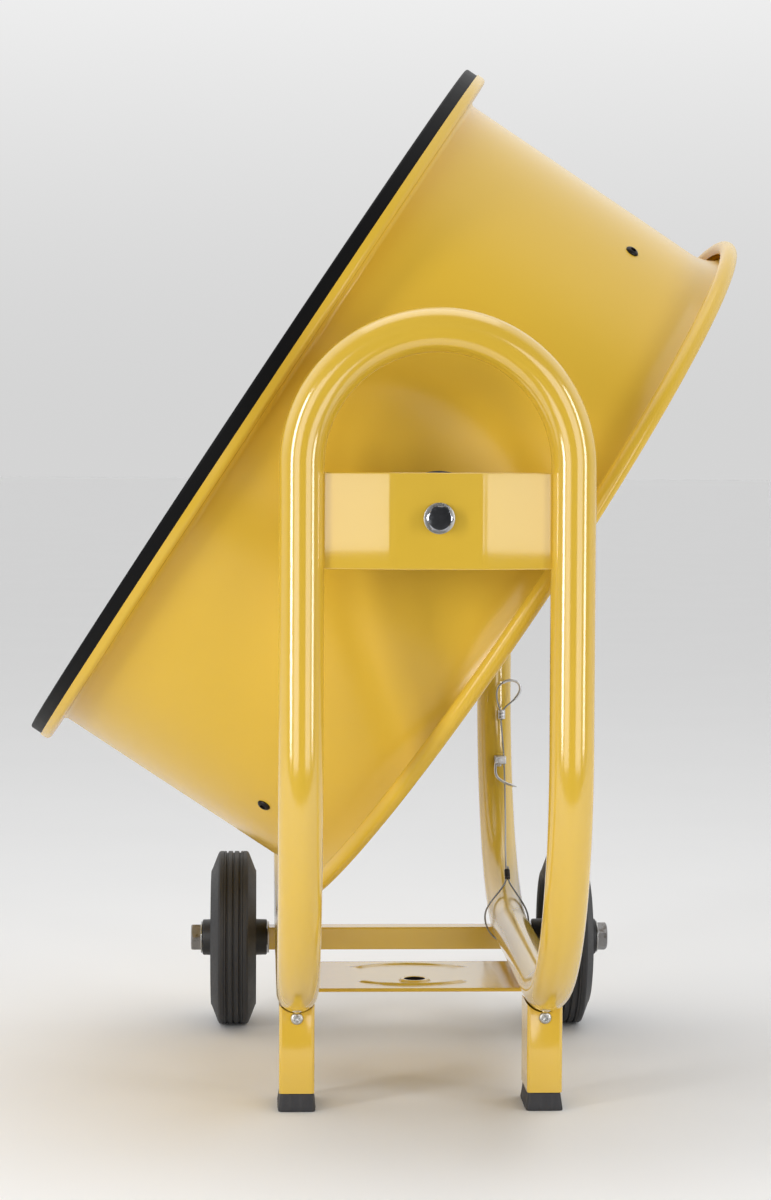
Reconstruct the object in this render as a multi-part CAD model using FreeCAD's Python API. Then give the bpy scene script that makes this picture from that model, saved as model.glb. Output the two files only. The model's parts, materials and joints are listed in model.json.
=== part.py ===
import FreeCAD, Part
import math, os
from FreeCAD import Vector as V

# Tilting barrel fan on a two-wheeled tubular stand.
# Millimetres, +Z up, floor at z = 0.  X runs across the stand (the drum points
# towards -X and up), Y runs along the tilt axis: the feet are at -Y, the
# wheels at +Y.  "near" is the -Y side, "far" the +Y side.
os.makedirs("parts", exist_ok=True)

# ---------------------------------------------------------------- driving dimensions
XP = 25.80           # X of the tilt axis: puts the outline's centre on X = 0
ZP = 463.0           # height of the tilt axis
TILT = 33.4          # drum axis above the horizontal at rest, degrees

TUBE_R = 16.0        # frame tube, 32 mm (1 1/4 in) outside diameter
TUBE_T = 2.0
LEG_X = 96.0         # half spacing of the legs
ARCH_Y = 350.0       # planes of the two arches
ARCH_Z = 499.4       # spring line of the arch
BEND_R = 205.0       # lower bends
BASE_Z = 92.5        # centre of the base tubes
BASE_Y = 145.0       # where the lower bends start

WALL_R = 298.6       # drum wall, outside
SHEET = 1.6          # drum sheet
U_BACK = 99.2        # sheet centre line of the bell mouth
BEAD_R = 5.8         # rolled bead, sheet centre line
BEAD_C = (93.4, 317.2)
FLANGE_U0, FLANGE_U1 = -151.6, -143.5
FLANGE_R = 321.5
BAND_U0, BAND_R = -161.9, 320.4

AXLE_Y, AXLE_Z = 191.0, 76.6
BAR = 20.0           # square axle bar
WHEEL_R, WHEEL_W = 76.6, 40.0
WHEEL_X = 148.0
HUB_R = 15.75
HUB_X0, HUB_X1 = 118.3, 175.7
PIN_R = 7.0          # M14 wheel bolts

FOOT_X, FOOT_Y0, FOOT_Y1 = 27.4, -170.0, -118.0
FOOT_Z = 14.0        # lower end of the foot posts
SCREW_Z = 72.6       # screws through the foot posts
HOLE_X, HOLE_Y, HOLE_R = 2.0, -29.0, 8.6    # pierced boss of the base plate
ROPE_R = 0.8         # tether rope, 1.6 mm

BR_T = 3.0           # pivot bracket bar
BR_H = 68.0
BR_DROP = 2.1        # the bolt sits this far above the middle of the bar
BR_FLAT = 31.6       # half width of the flat middle
BR_OUT = 365.0       # outside face of the flat middle
BOLT_R = 5.0         # M10 pivot bolts

FAN_U = -62.0        # plane of the fan
FAN_R = 284.0
BARS_Y, BARS_U = 154.0, 23.2    # motor bars
WIRE_R = 1.5

# ---------------------------------------------------------------- helpers
def box(x0, y0, z0, x1, y1, z1):
    return Part.makeBox(x1 - x0, y1 - y0, z1 - z0, V(x0, y0, z0))

def cyl(p, d, r, h):
    return Part.makeCylinder(r, h, V(*p), V(*d))

def ring(p, d, r1, r0, h):
    return cyl(p, d, r1, h).cut(cyl(p, d, r0, h))

def group(shapes):
    return Part.makeCompound([s for s in shapes])

def fuse(shapes):
    a = shapes[0]
    if len(shapes) > 1:
        a = a.multiFuse(shapes[1:])
    a = a.removeSplitter()
    return a.Solids[0] if len(a.Solids) == 1 else a

def line(a, b):
    return Part.LineSegment(V(*a), V(*b)).toShape()

def arc3(a, m, b):
    return Part.Arc(V(*a), V(*m), V(*b)).toShape()

def pipe(edges, r):
    w = Part.Wire(edges)
    p0 = V(*edges[0].valueAt(edges[0].FirstParameter))
    t0 = V(*edges[0].tangentAt(edges[0].FirstParameter))
    prof = Part.Wire([Part.Circle(p0, t0, r).toShape()])
    return w.makePipeShell([prof], True, False)

def tube(edges, r, t):
    return pipe(edges, r).cut(pipe(edges, r - t))

radii_used = []
def rounded(points):
    """straight runs joined by tangent arcs that take 0.45 of the shorter run"""
    pts = [V(*p) for p in points]
    del radii_used[:]
    out, cur = [], pts[0]
    for i in range(1, len(pts) - 1):
        a = (pts[i - 1] - pts[i]).normalize()
        b = (pts[i + 1] - pts[i]).normalize()
        ang = a.getAngle(b)
        d = 0.45 * min((pts[i - 1] - pts[i]).Length, (pts[i + 1] - pts[i]).Length)
        rad = d * math.tan(ang / 2)
        radii_used.append(round(rad, 1))
        p, q = pts[i] + a * d, pts[i] + b * d
        bis = (a + b).normalize()
        c = pts[i] + bis * (rad / math.sin(ang / 2))
        m = c - bis * rad
        if (p - cur).Length > 1e-4:
            out.append(Part.LineSegment(cur, p).toShape())
        out.append(Part.Arc(p, m, q).toShape())
        cur = q
    out.append(Part.LineSegment(cur, pts[-1]).toShape())
    return out

def sheet_section(start, heading, path, t):
    """closed section of a bent sheet in the (u, r) plane: path is a list of
    ('L', length) and ('A', radius, turn in degrees, + is left)"""
    left, right = [], []
    x, y, h = start[0], start[1], math.radians(heading)
    k = t / 2
    def off(x, y, h, s):
        return (x - math.sin(h) * s * k, 0, y + math.cos(h) * s * k)
    first = (off(x, y, h, 1), off(x, y, h, -1))
    for seg in path:
        l0, r0 = off(x, y, h, 1), off(x, y, h, -1)
        if seg[0] == 'L':
            x += math.cos(h) * seg[1]
            y += math.sin(h) * seg[1]
            left.append(line(l0, off(x, y, h, 1)))
            right.append(line(r0, off(x, y, h, -1)))
        else:
            rad, turn = seg[1], math.radians(seg[2])
            s = 1 if turn > 0 else -1
            cx, cy = x - math.sin(h) * s * rad, y + math.cos(h) * s * rad
            def at(q):
                hh = h + turn * q
                return cx + math.sin(hh) * s * rad, cy - math.cos(hh) * s * rad, hh
            xm, ym, hm = at(0.5)
            x1, y1, h1 = at(1.0)
            left.append(arc3(l0, off(xm, ym, hm, 1), off(x1, y1, h1, 1)))
            right.append(arc3(r0, off(xm, ym, hm, -1), off(x1, y1, h1, -1)))
            x, y, h = x1, y1, h1
    last = (off(x, y, h, 1), off(x, y, h, -1))
    edges = left + [line(last[0], last[1])] + right[::-1] + [line(first[1], first[0])]
    return Part.Face(Part.Wire(Part.__sortEdges__(edges)))

def turn(face):
    return face.revolve(V(0, 0, 0), V(1, 0, 0), 360)

def turned(points):
    """solid of revolution about the drum axis from (u, r) corners"""
    p = [V(u, 0, r) for u, r in points]
    return turn(Part.Face(Part.makePolygon(p + [p[0]])))

def hexagon(p, d, af, h, spin=0.0):
    """hexagonal prism with its corners chamfered, standing on p along d"""
    r = af / math.sqrt(3)
    pts = [V(r * math.cos(math.radians(60 * i)), r * math.sin(math.radians(60 * i)), 0) for i in range(7)]
    s = Part.Face(Part.makePolygon(pts)).extrude(V(0, 0, h))
    cone = Part.makeCone(af / 2 * 0.97 + h * 1.75, af / 2 * 0.97, h)
    s = s.common(cone)
    s.rotate(V(0, 0, 0), V(0, 0, 1), spin)
    rot = FreeCAD.Rotation(V(0, 0, 1), V(*d))
    s.Placement = FreeCAD.Placement(V(*p), rot).multiply(s.Placement)
    return s

def polar(shape, n, a0=0.0):
    out = []
    for i in range(n):
        c = shape.copy()
        c.rotate(V(0, 0, 0), V(1, 0, 0), a0 + 360.0 * i / n)
        out.append(c)
    return out

def save(node, shape, drum=False):
    s = shape.copy()
    if drum:
        s.rotate(V(0, 0, 0), V(0, 1, 0), TILT)
        s.translate(V(0, 0, ZP))
    s.translate(V(XP, 0, 0))
    assert s.isValid(), node
    for b in s.Solids:
        assert b.Volume > 0, node
    s.exportStep("parts/%s.step" % node)
    bb = s.BoundBox
    print("%-22s solids %3d vol %9.0f  x %7.1f %7.1f y %7.1f %7.1f z %7.1f %7.1f" % (
        node, len(s.Solids), s.Volume, bb.XMin, bb.XMax, bb.YMin, bb.YMax, bb.ZMin, bb.ZMax))
    return s

# ---------------------------------------------------------------- stand: the two bent arches
def arch_edges(s):
    """s = -1 near, +1 far; from the left base tube over the arch to the right"""
    k = math.sqrt(0.5)
    def bend(x):
        return ((x, s * BASE_Y, BASE_Z),
                (x, s * (BASE_Y + BEND_R * k), BASE_Z + BEND_R * (1 - k)),
                (x, s * (BASE_Y + BEND_R), BASE_Z + BEND_R))
    a, b, c = bend(-LEG_X)
    d, e, f = bend(LEG_X)
    y = s * ARCH_Y
    return [arc3(a, b, c), line(c, (-LEG_X, y, ARCH_Z)),
            arc3((-LEG_X, y, ARCH_Z), (0, y, ARCH_Z + LEG_X), (LEG_X, y, ARCH_Z)),
            line((LEG_X, y, ARCH_Z), f), arc3(f, e, d)]

outer = {}
for nm, s in (("near", -1), ("far", 1)):
    e = arch_edges(s)
    outer[nm] = pipe(e, TUBE_R)
    save("arch_" + nm, tube(e, TUBE_R, TUBE_T))
for nm, x in (("left", -LEG_X), ("right", LEG_X)):
    save("base_tube_" + nm, ring((x, -BASE_Y, BASE_Z), (0, 1, 0), TUBE_R, TUBE_R - TUBE_T, 2 * BASE_Y))
base_solid = [cyl((x, -BASE_Y, BASE_Z), (0, 1, 0), TUBE_R, 2 * BASE_Y) for x in (-LEG_X, LEG_X)]

# ---------------------------------------------------------------- feet
for nm, x in (("left", -LEG_X), ("right", LEG_X)):
    h = FOOT_X / 2
    post = box(x - h, FOOT_Y0, FOOT_Z, x + h, FOOT_Y1, BASE_Z)
    ev = [e for e in post.Edges if abs(e.tangentAt(e.FirstParameter).z) > 0.9]
    post = post.makeFillet(2.0, ev)
    hole = box(x - h + 1.8, FOOT_Y0 + 1.8, FOOT_Z - 1, x + h - 1.8, FOOT_Y1 - 1.8, BASE_Z + 1)
    post = post.cut(hole).cut(base_solid[0]).cut(base_solid[1]).cut(outer["near"])
    post = post.cut(cyl((x, FOOT_Y0 - 5, SCREW_Z), (0, 1, 0), 2.05, 12))
    save("foot_post_" + nm, sorted(post.Solids, key=lambda q: -q.Volume)[0])
    def rect(z, dx, dy):
        yc = (FOOT_Y0 + FOOT_Y1) / 2
        p = [V(x - dx, yc - dy, z), V(x + dx, yc - dy, z), V(x + dx, yc + dy, z), V(x - dx, yc + dy, z)]
        return Part.makePolygon(p + [p[0]])
    tip = Part.makeLoft([rect(0, 14.8, 27.8), rect(13.9, 12.9, 25.9)], True, True)
    plug = box(x - 11.6, FOOT_Y0 + 2.0, 13.9, x + 11.6, FOOT_Y1 - 2.0, 32)
    save("foot_tip_" + nm, fuse([tip, plug]))
scr = []
for x in (-LEG_X, LEG_X):
    head = cyl((x, FOOT_Y0, SCREW_Z), (0, -1, 0), 4.8, 2.4)
    head = head.makeFillet(1.6, [e for e in head.Edges if abs(e.CenterOfMass.y - (FOOT_Y0 - 2.4)) < 1e-3 and len(e.Vertexes) == 1])
    slot = box(x - 0.6, FOOT_Y0 - 3, SCREW_Z - 2.6, x + 0.6, FOOT_Y0 - 1.0, SCREW_Z + 2.6).fuse(
        box(x - 2.6, FOOT_Y0 - 3, SCREW_Z - 0.6, x + 2.6, FOOT_Y0 - 1.0, SCREW_Z + 0.6))
    slot.rotate(V(x, 0, SCREW_Z), V(0, 1, 0), 45)
    scr.append(head.cut(slot).fuse(cyl((x, FOOT_Y0, SCREW_Z), (0, 1, 0), 2.0, 9)))
save("foot_screws", group(scr))

# ---------------------------------------------------------------- axle bar, wheel bolts
xb = 116.5
bar = box(-xb, AXLE_Y - BAR / 2, AXLE_Z - BAR / 2, xb, AXLE_Y + BAR / 2, AXLE_Z + BAR / 2)
bar = bar.makeFillet(1.5, [e for e in bar.Edges if abs(e.tangentAt(e.FirstParameter).x) > 0.9])
bar = bar.cut(box(-xb - 1, AXLE_Y - BAR / 2 + 2, AXLE_Z - BAR / 2 + 2, xb + 1, AXLE_Y + BAR / 2 - 2, AXLE_Z + BAR / 2 - 2))
bar = bar.cut(outer["far"]).cut(base_solid[0]).cut(base_solid[1])
save("axle_bar", sorted(bar.Solids, key=lambda q: -q.Volume)[0])
plugs, bolts, washers = [], [], []
for nm, s in (("left", -1), ("right", 1)):
    k = BAR / 2 - 2
    pl = box(min(s * 108.0, s * xb), AXLE_Y - k, AXLE_Z - k, max(s * 108.0, s * xb), AXLE_Y + k, AXLE_Z + k)
    pl = pl.cut(outer["far"]).cut(cyl((s * 100, AXLE_Y, AXLE_Z), (s, 0, 0), PIN_R, 30))
    plugs.append(sorted(pl.Solids, key=lambda q: -q.Volume)[0])
    shank = cyl((s * 108.2, AXLE_Y, AXLE_Z), (s, 0, 0), PIN_R, 177.2 - 108.2)
    head = hexagon((s * 177.2, AXLE_Y, AXLE_Z), (s, 0, 0), 22.0, 8.8, 8.0 * s)
    bolts.append(shank.fuse(head).removeSplitter())
    washers.append(ring((s * xb, AXLE_Y, AXLE_Z), (s, 0, 0), 14.0, PIN_R, 1.5))
    washers.append(ring((s * 176.0, AXLE_Y, AXLE_Z), (s, 0, 0), 14.0, PIN_R, 1.2))
save("axle_end_plugs", group(plugs))
save("wheel_bolts", group(bolts))
save("wheel_washers", group(washers))

# ---------------------------------------------------------------- wheels: solid rubber tread on a moulded core
def wheel_parts():
    """built round the X axis, outboard side towards +X, centred on x = 0"""
    w = WHEEL_W / 2
    prof = [(-w + 5.5, 51), (-w, 55.5), (-w, 59.5), (-13.0, WHEEL_R)]
    groove = []
    for c in (-5.2, 0.0, 5.2):
        groove += [(c - 0.9, WHEEL_R), (c - 0.6, WHEEL_R - 1.2), (c + 0.6, WHEEL_R - 1.2), (c + 0.9, WHEEL_R)]
    prof += groove + [(13.0, WHEEL_R), (w, 59.5), (w, 55.5), (w - 5.5, 51)]
    tyre = turned(prof)
    b = PIN_R + 0.08
    h0, h1 = HUB_X0 - WHEEL_X, HUB_X1 - WHEEL_X
    core = turned([(h0, b), (h1, b), (h1, HUB_R - 0.8), (h1 - 0.8, HUB_R), (10, HUB_R + 1.2), (6.5, HUB_R + 4.5),
                   (5.5, 44), (w - 5.8, 47), (w - 5.8, 51), (-w + 5.8, 51), (-w + 5.8, 47), (-5.5, 44),
                   (-6.5, HUB_R + 4.5), (-10, HUB_R + 1.2), (h0 + 0.8, HUB_R), (h0, HUB_R - 0.8)])
    ribs = []
    for i in range(6):
        for sgn in (-1, 1):
            a, c = (5.3, 13.0) if sgn > 0 else (-13.0, -5.3)
            r = box(a, -1.6, HUB_R - 1, c, 1.6, 49.5)
            r.rotate(V(0, 0, 0), V(1, 0, 0), 60 * i + 15)
            ribs.append(r)
    core = fuse([core] + ribs)
    return tyre, core

tyre, core = wheel_parts()
for nm, s in (("left", -1), ("right", 1)):
    for node, sh in (("tyre_", tyre), ("wheel_core_", core)):
        c = sh.copy()
        if s < 0:
            c.rotate(V(0, 0, 0), V(0, 0, 1), 180)
        c.translate(V(s * WHEEL_X, AXLE_Y, AXLE_Z))
        save(node + nm, c)

# ---------------------------------------------------------------- base plate: pressed, under the tubes
PZ = BASE_Z - TUBE_R
plate = box(-104, -64, PZ - 2.9, 104, 64, PZ)
plate = plate.makeFillet(1.2, [e for e in plate.Edges if abs(e.tangentAt(e.FirstParameter).x) > 0.9 and e.CenterOfMass.z > PZ - 1])
collar = Part.makeCone(13.2, 11.2, 1.5, V(HOLE_X, HOLE_Y, PZ - 0.01)).fuse(cyl((HOLE_X, HOLE_Y, PZ + 1.48), (0, 0, 1), 11.2, 0.6))
beads = []
for s in (-1, 1):
    a = math.degrees(math.atan2(43.0, 53.0))
    R = 66.0
    yc = s * (48.0 - R)
    pts = [V(R * math.sin(math.radians(q)), yc + s * R * math.cos(math.radians(q)), PZ - 2.0) for q in (-40, 0, 40)]
    e = Part.Arc(*pts).toShape()
    beads.append(pipe([e], 3.6))
plate = fuse([plate, collar] + beads)
plate = plate.cut(box(-110, -70, PZ - 12, 110, 70, PZ - 2.9))
plate = plate.cut(cyl((HOLE_X, HOLE_Y, PZ - 10), (0, 0, 1), HOLE_R, 30))
save("base_plate", plate.Solids[0] if len(plate.Solids) == 1 else plate)

# ---------------------------------------------------------------- pivot brackets
def bracket(s):
    yo, yi = BR_OUT, BR_OUT - BR_T
    xe, ye = 88.0, 351.5
    xm, ym = 57.0, 359.8
    def pts(y0, ye, ym):
        return [line((-BR_FLAT, s * y0, 0), (BR_FLAT, s * y0, 0)),
                arc3((BR_FLAT, s * y0, 0), (xm, s * ym, 0), (xe, s * ye, 0)),
                arc3((-BR_FLAT, s * y0, 0), (-xm, s * ym, 0), (-xe, s * ye, 0))]
    e = pts(yo, ye, ym) + pts(yi, ye - BR_T, ym - BR_T)
    e += [line((xe, s * ye, 0), (xe, s * (ye - BR_T), 0)), line((-xe, s * ye, 0), (-xe, s * (ye - BR_T), 0))]
    f = Part.Face(Part.Wire(Part.__sortEdges__(e)))
    f.translate(V(0, 0, ZP - BR_DROP - BR_H / 2))
    b = f.extrude(V(0, 0, BR_H))
    b = b.cut(cyl((0, s * 330, ZP), (0, s, 0), BOLT_R + 0.08, 50))
    b = b.cut(outer["near" if s < 0 else "far"])
    return sorted(b.Solids, key=lambda q: -q.Volume)[0]

for nm, s in (("near", -1), ("far", 1)):
    save("pivot_bracket_" + nm, bracket(s))

# ---------------------------------------------------------------- wire tether round the right base tube
rope_pts = [(98.6, 209.6, 136.8), (98.5, 204.8, 130.6), (98.3, 200.4, 124.9), (103.4, 193.6, 117.2), (108.9, 186.2, 109.4), (113.2, 180.4, 101.6),
            (114.6, 175.2, 93.8), (113.0, 171.2, 84.4), (106.6, 168.4, 77.2), (96.4, 167.2, 74.6), (86.0, 168.4, 76.8),
            (78.4, 171.2, 84.0), (75.2, 175.4, 93.4), (76.2, 180.2, 101.6), (82.4, 186.4, 109.8), (90.4, 193.4, 117.4),
            (96.4, 200.2, 124.9), (96.7, 206.8, 133.0), (97.0, 214.6, 141.2), (98.2, 234.0, 152.6), (100.4, 260.0, 164.4),
            (102.0, 283.0, 180.2), (102.8, 298.6, 197.4), (103.0, 308.8, 215.2), (102.6, 316.2, 233.2), (101.5, 321.8, 248.6),
            (100.8, 325.0, 259.6), (100.7, 326.3, 268.2), (97.6, 327.4, 275.4), (96.6, 328.0, 283.2), (98.4, 328.0, 290.4),
            (104.0, 328.0, 295.0), (111.2, 328.0, 296.6), (117.8, 328.0, 294.2), (119.8, 328.0, 287.8), (116.6, 328.0, 280.8),
            (110.6, 327.8, 275.2), (104.6, 327.2, 270.6), (102.4, 326.3, 265.2), (102.4, 325.2, 259.2)]
rope_edges = rounded(rope_pts)
rope = pipe(rope_edges, ROPE_R)
rope_len = sum(e.Length for e in rope_edges)
print("rope length %.1f  volume/section*length %.4f  radii %s" % (
    rope_len, rope.Volume / (math.pi * ROPE_R ** 2 * rope_len), radii_used))
save("tether_rope", rope)
def oval(x, y, z0, z1, hx, hy, lean=0.0):
    """crimped sleeve: flat oval, standing along Z or leaning towards +Y"""
    b = box(x - hx, y - hy, z0, x + hx, y + hy, z1)
    b = b.makeFillet(hy * 0.9, [e for e in b.Edges if abs(e.tangentAt(e.FirstParameter).z) > 0.9])
    b.rotate(V(x, y, (z0 + z1) / 2), V(1, 0, 0), -lean)
    return b
f1 = oval(97.6, 204.9, 125.6, 135.6, 2.5, 1.6, 38.7).cut(rope)
f2 = oval(101.6, 325.7, 259.8, 268.2, 3.3, 2.0, 7.0).cut(rope)
save("tether_ferrule_lower", sorted(f1.Solids, key=lambda q: -q.Volume)[0])
save("tether_ferrule_upper", sorted(f2.Solids, key=lambda q: -q.Volume)[0])
blk = box(94.2, 308.6, 218.8, 104.8, 330.0, 226.4)
blk = blk.makeFillet(1.0, [e for e in blk.Edges if e.CenterOfMass.y < 309])
blk = blk.cut(outer["far"]).cut(rope)
blk = sorted([q for q in blk.Solids if q.CenterOfMass.y < 320], key=lambda q: -q.Volume)[0]
bail_pts = [(95.4, 311.0, 221.0), (94.2, 307.6, 214.4), (95.4, 303.2, 207.0), (103.6, 298.2, 202.2), (109.6, 297.2, 200.4)]
bail = pipe(rounded(bail_pts), 1.2)
tail = V(*bail_pts[-1]) - V(*bail_pts[-2])
tail.normalize()
bail = bail.fuse(Part.makeCone(1.2, 0.3, 4.4, V(*bail_pts[-1]), tail)).cut(rope)
clip = fuse([blk, bail])
save("tether_clip", clip)

# ================================================================ drum, built along +X = u, then tilted
# one rolled shell: front lip and flange, wall, bell mouth, rolled bead
wr = WALL_R - SHEET / 2
th = 35.0
R1 = 37.0
dr = BEAD_C[1] - wr
R2 = (dr - R1 * (1 - math.cos(math.radians(th)))) / math.cos(math.radians(th))
u_fl = U_BACK - R1 * math.sin(math.radians(th)) - R2 * (1 - math.sin(math.radians(th)))
lip_r = FLANGE_R - SHEET / 2
fl_u = FLANGE_U1 - SHEET / 2
path = [('L', fl_u - 3.0 - FLANGE_U0), ('A', 3.0, -90), ('L', lip_r - 3.0 - (wr + 4.8)), ('A', 4.8, 90),
        ('L', u_fl - (fl_u + 4.8)), ('A', R1, th), ('A', R2, 90 - th), ('A', BEAD_R, 250)]
shell = turn(sheet_section((FLANGE_U0, lip_r), 0.0, path, SHEET))
screw_v, screw_y = 258.0, 154.0
for v in (-1, 1):
    for y in (-1, 1):
        a = math.atan2(v * screw_v, y * screw_y)
        d = (0, math.cos(a), math.sin(a))
        shell = shell.cut(cyl((BARS_U, d[1] * 285, d[2] * 285), d, 2.6, 30))
for s in (-1, 1):
    shell = shell.cut(cyl((0, s * 285, 0), (0, s, 0), 5.2, 30))
PHI = math.radians(32)         # switch box: above the far pivot, seen along the axis
nb = (0, math.cos(PHI), math.sin(PHI))
tb = (0, -math.sin(PHI), math.cos(PHI))
shell = shell.cut(cyl((20, nb[1] * 285, nb[2] * 285), nb, 9.0, 30))
save("drum_shell", shell, True)

# black band: a channel ring that carries the front guard
bt = 1.5
bpath = [('L', (FLANGE_U0 - BAND_U0) - bt / 2 - 1.2), ('A', 1.2, 90), ('L', 15.0), ('A', 1.2, 90), ('L', (FLANGE_U0 - BAND_U0) - bt / 2 - 1.2)]
band = turn(sheet_section((FLANGE_U0, BAND_R - bt / 2), 180.0, bpath, bt))
save("front_band", band, True)
band_in = BAND_R - bt / 2 - 1.2 - 15.0 - 1.2 - bt / 2      # inner lip, inside

def torus(u, R, r):
    return Part.makeTorus(R, r, V(u, 0, 0), V(1, 0, 0))

def guard(u, out, rmax, rmin, pitch, n, spoke_r, spoke_r0, spoke_r1):
    """rings of wire at u, spokes on the side given by out (-1 or +1)"""
    rings = []
    r = rmin
    while r <= rmax:
        rings.append(torus(u, r, WIRE_R))
        r += pitch
    us = u + out * (WIRE_R + spoke_r)
    sp = polar(cyl((us, 0, spoke_r0), (0, 0, 1), spoke_r, spoke_r1 - spoke_r0), n, 15.0)
    return rings, sp

rings, sp = guard(-157.2, 1, 292, 52, 12.0, 12, 2.2, 30.0, band_in)
save("front_guard_rings", group(rings), True)
save("front_guard_spokes", group(sp), True)
badge = turned([(-159.2, 0), (-161.4, 0), (-160.9, 30), (-159.0, 42), (-156.0, 46), (-155.5, 44.6), (-158.0, 41), (-159.3, 29)])
save("front_guard_disc", badge, True)

# rear guard sits inside the bell mouth, on four standoffs from the motor bars
rings, sp = guard(91.5, -1, 292, 52, 12.0, 12, 2.2, 30.0, 298.0 - 2.2)
save("rear_guard_rings", group(rings + [torus(91.5 - 3.7, 298.0, 2.2)]), True)
save("rear_guard_spokes", group(sp), True)
rdisc = turned([(93.2, 0), (95.4, 0), (95.0, 30), (93.4, 42), (90.6, 46), (90.0, 44.6), (92.3, 41), (93.3, 29)])
save("rear_guard_disc", rdisc, True)

# motor bars: two channels across the drum, ends cut to the wall
bars = {}
for nm, s in (("near", -1), ("far", 1)):
    y0 = s * BARS_Y
    b = box(BARS_U - 15, y0 - 12, -290, BARS_U + 15, y0 + 12, 290)
    b = b.cut(box(BARS_U - 12.5, y0 - 9.5, -300, BARS_U + 16, y0 + 9.5, 300))
    b = b.common(cyl((-50, 0, 0), (1, 0, 0), WALL_R - SHEET, 200))
    ears = []
    for v in (-1, 1):
        a = math.atan2(v * screw_v, s * screw_y)
        e = box(BARS_U - 14, -13, 291, BARS_U + 14, 13, WALL_R - SHEET)
        e.rotate(V(0, 0, 0), V(1, 0, 0), math.degrees(a) - 90)
        e = e.common(cyl((-50, 0, 0), (1, 0, 0), WALL_R - SHEET, 200))
        ears.append(e)
    b = fuse([b] + ears)
    for v in (-1, 1):
        a = math.atan2(v * screw_v, s * screw_y)
        d = (0, math.cos(a), math.sin(a))
        b = b.cut(cyl((BARS_U, d[1] * 270, d[2] * 270), d, 2.5, 40))
    bars[nm] = b
    save("motor_bar_" + nm, b, True)
scr = []
for v in (-1, 1):
    for y in (-1, 1):
        a = math.atan2(v * screw_v, y * screw_y)
        d = V(0, math.cos(a), math.sin(a))
        h = cyl(tuple(d * WALL_R + V(BARS_U, 0, 0)), tuple(d), 5.2, 2.4)
        h = h.cut(cyl(tuple(d * (WALL_R + 0.8) + V(BARS_U, 0, 0)), tuple(d), 2.4, 3))
        sk = cyl(tuple(d * 283 + V(BARS_U, 0, 0)), tuple(d), 2.5, WALL_R + 0.6 - 283)
        h = h.fuse(sk).cut(cyl(tuple(d * (WALL_R + 0.8) + V(BARS_U, 0, 0)), tuple(d), 2.4, 3))
        scr.append(h)
save("drum_screws", group(scr), True)

# motor cradle: two cross straps between the bars, above and below the motor
MR = 74.0
straps = []
for v in (1, -1):
    c = box(BARS_U - 18, -BARS_Y + 12, min(v * MR, v * (MR + 3.5)), BARS_U + 18, BARS_Y - 12, max(v * MR, v * (MR + 3.5)))
    c = c.fuse(box(BARS_U - 18, -32, min(v * 62, v * (MR + 1)), BARS_U + 18, 32, max(v * 62, v * (MR + 1)))).cut(
        cyl((-50, 0, 0), (1, 0, 0), MR, 200)).removeSplitter()
    straps.append(sorted(c.Solids, key=lambda q: -q.Volume)[0])
save("motor_straps", group(straps), True)

# motor: housing tube, end caps, stator, rotor, shaft, bearings
M0, M1 = 2.0, 66.0
save("motor_housing", ring((M0, 0, 0), (1, 0, 0), MR, MR - 3.0, M1 - M0), True)
SH = 8.0
cap_f = turned([(M0, MR), (M0, 30), (M0 + 3, 24), (M0 + 3, 15.0), (M0 - 12, 15.0), (M0 - 12, SH + 1.5), (M0 - 14.5, SH + 1.5),
                (M0 - 14.5, 20), (M0 - 10, 40), (M0 - 6, MR - 6), (M0 - 3, MR)])
cap_r = turned([(M1, MR), (M1, 30), (M1 - 3, 24), (M1 - 3, 15.0), (M1 + 12, 15.0), (M1 + 12, SH + 1.5), (M1 + 14.5, SH + 1.5),
                (M1 + 14.5, 20), (M1 + 10, 40), (M1 + 6, MR - 6), (M1 + 3, MR)])
save("motor_cap_front", cap_f, True)
save("motor_cap_rear", cap_r, True)
save("motor_bearings", group([ring((M0 - 9, 0, 0), (1, 0, 0), 15.0, SH + 0.05, 10), ring((M1 - 1, 0, 0), (1, 0, 0), 15.0, SH + 0.05, 10)]), True)
save("motor_stator", ring((M0 + 12, 0, 0), (1, 0, 0), MR - 3.0, 45.5, M1 - M0 - 24), True)
save("motor_rotor", ring((M0 + 12, 0, 0), (1, 0, 0), 45.0, SH, M1 - M0 - 24), True)
save("motor_shaft", cyl((FAN_U - 24, 0, 0), (1, 0, 0), SH, M1 + 9 - (FAN_U - 24)), True)
cap = cyl((BARS_U - 24, 84, MR + 3.5 + 15.5), (1, 0, 0), 14.0, 58)
cap = cap.makeFillet(2.0, [e for e in cap.Edges if len(e.Vertexes) == 1])
foot = box(BARS_U - 10, 74, MR + 3.5, BARS_U + 10, 94, MR + 3.5 + 12).cut(cyl((-50, 84, MR + 3.5 + 15.5), (1, 0, 0), 14.0, 200))
save("motor_capacitor", fuse([cap, foot]), True)

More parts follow.
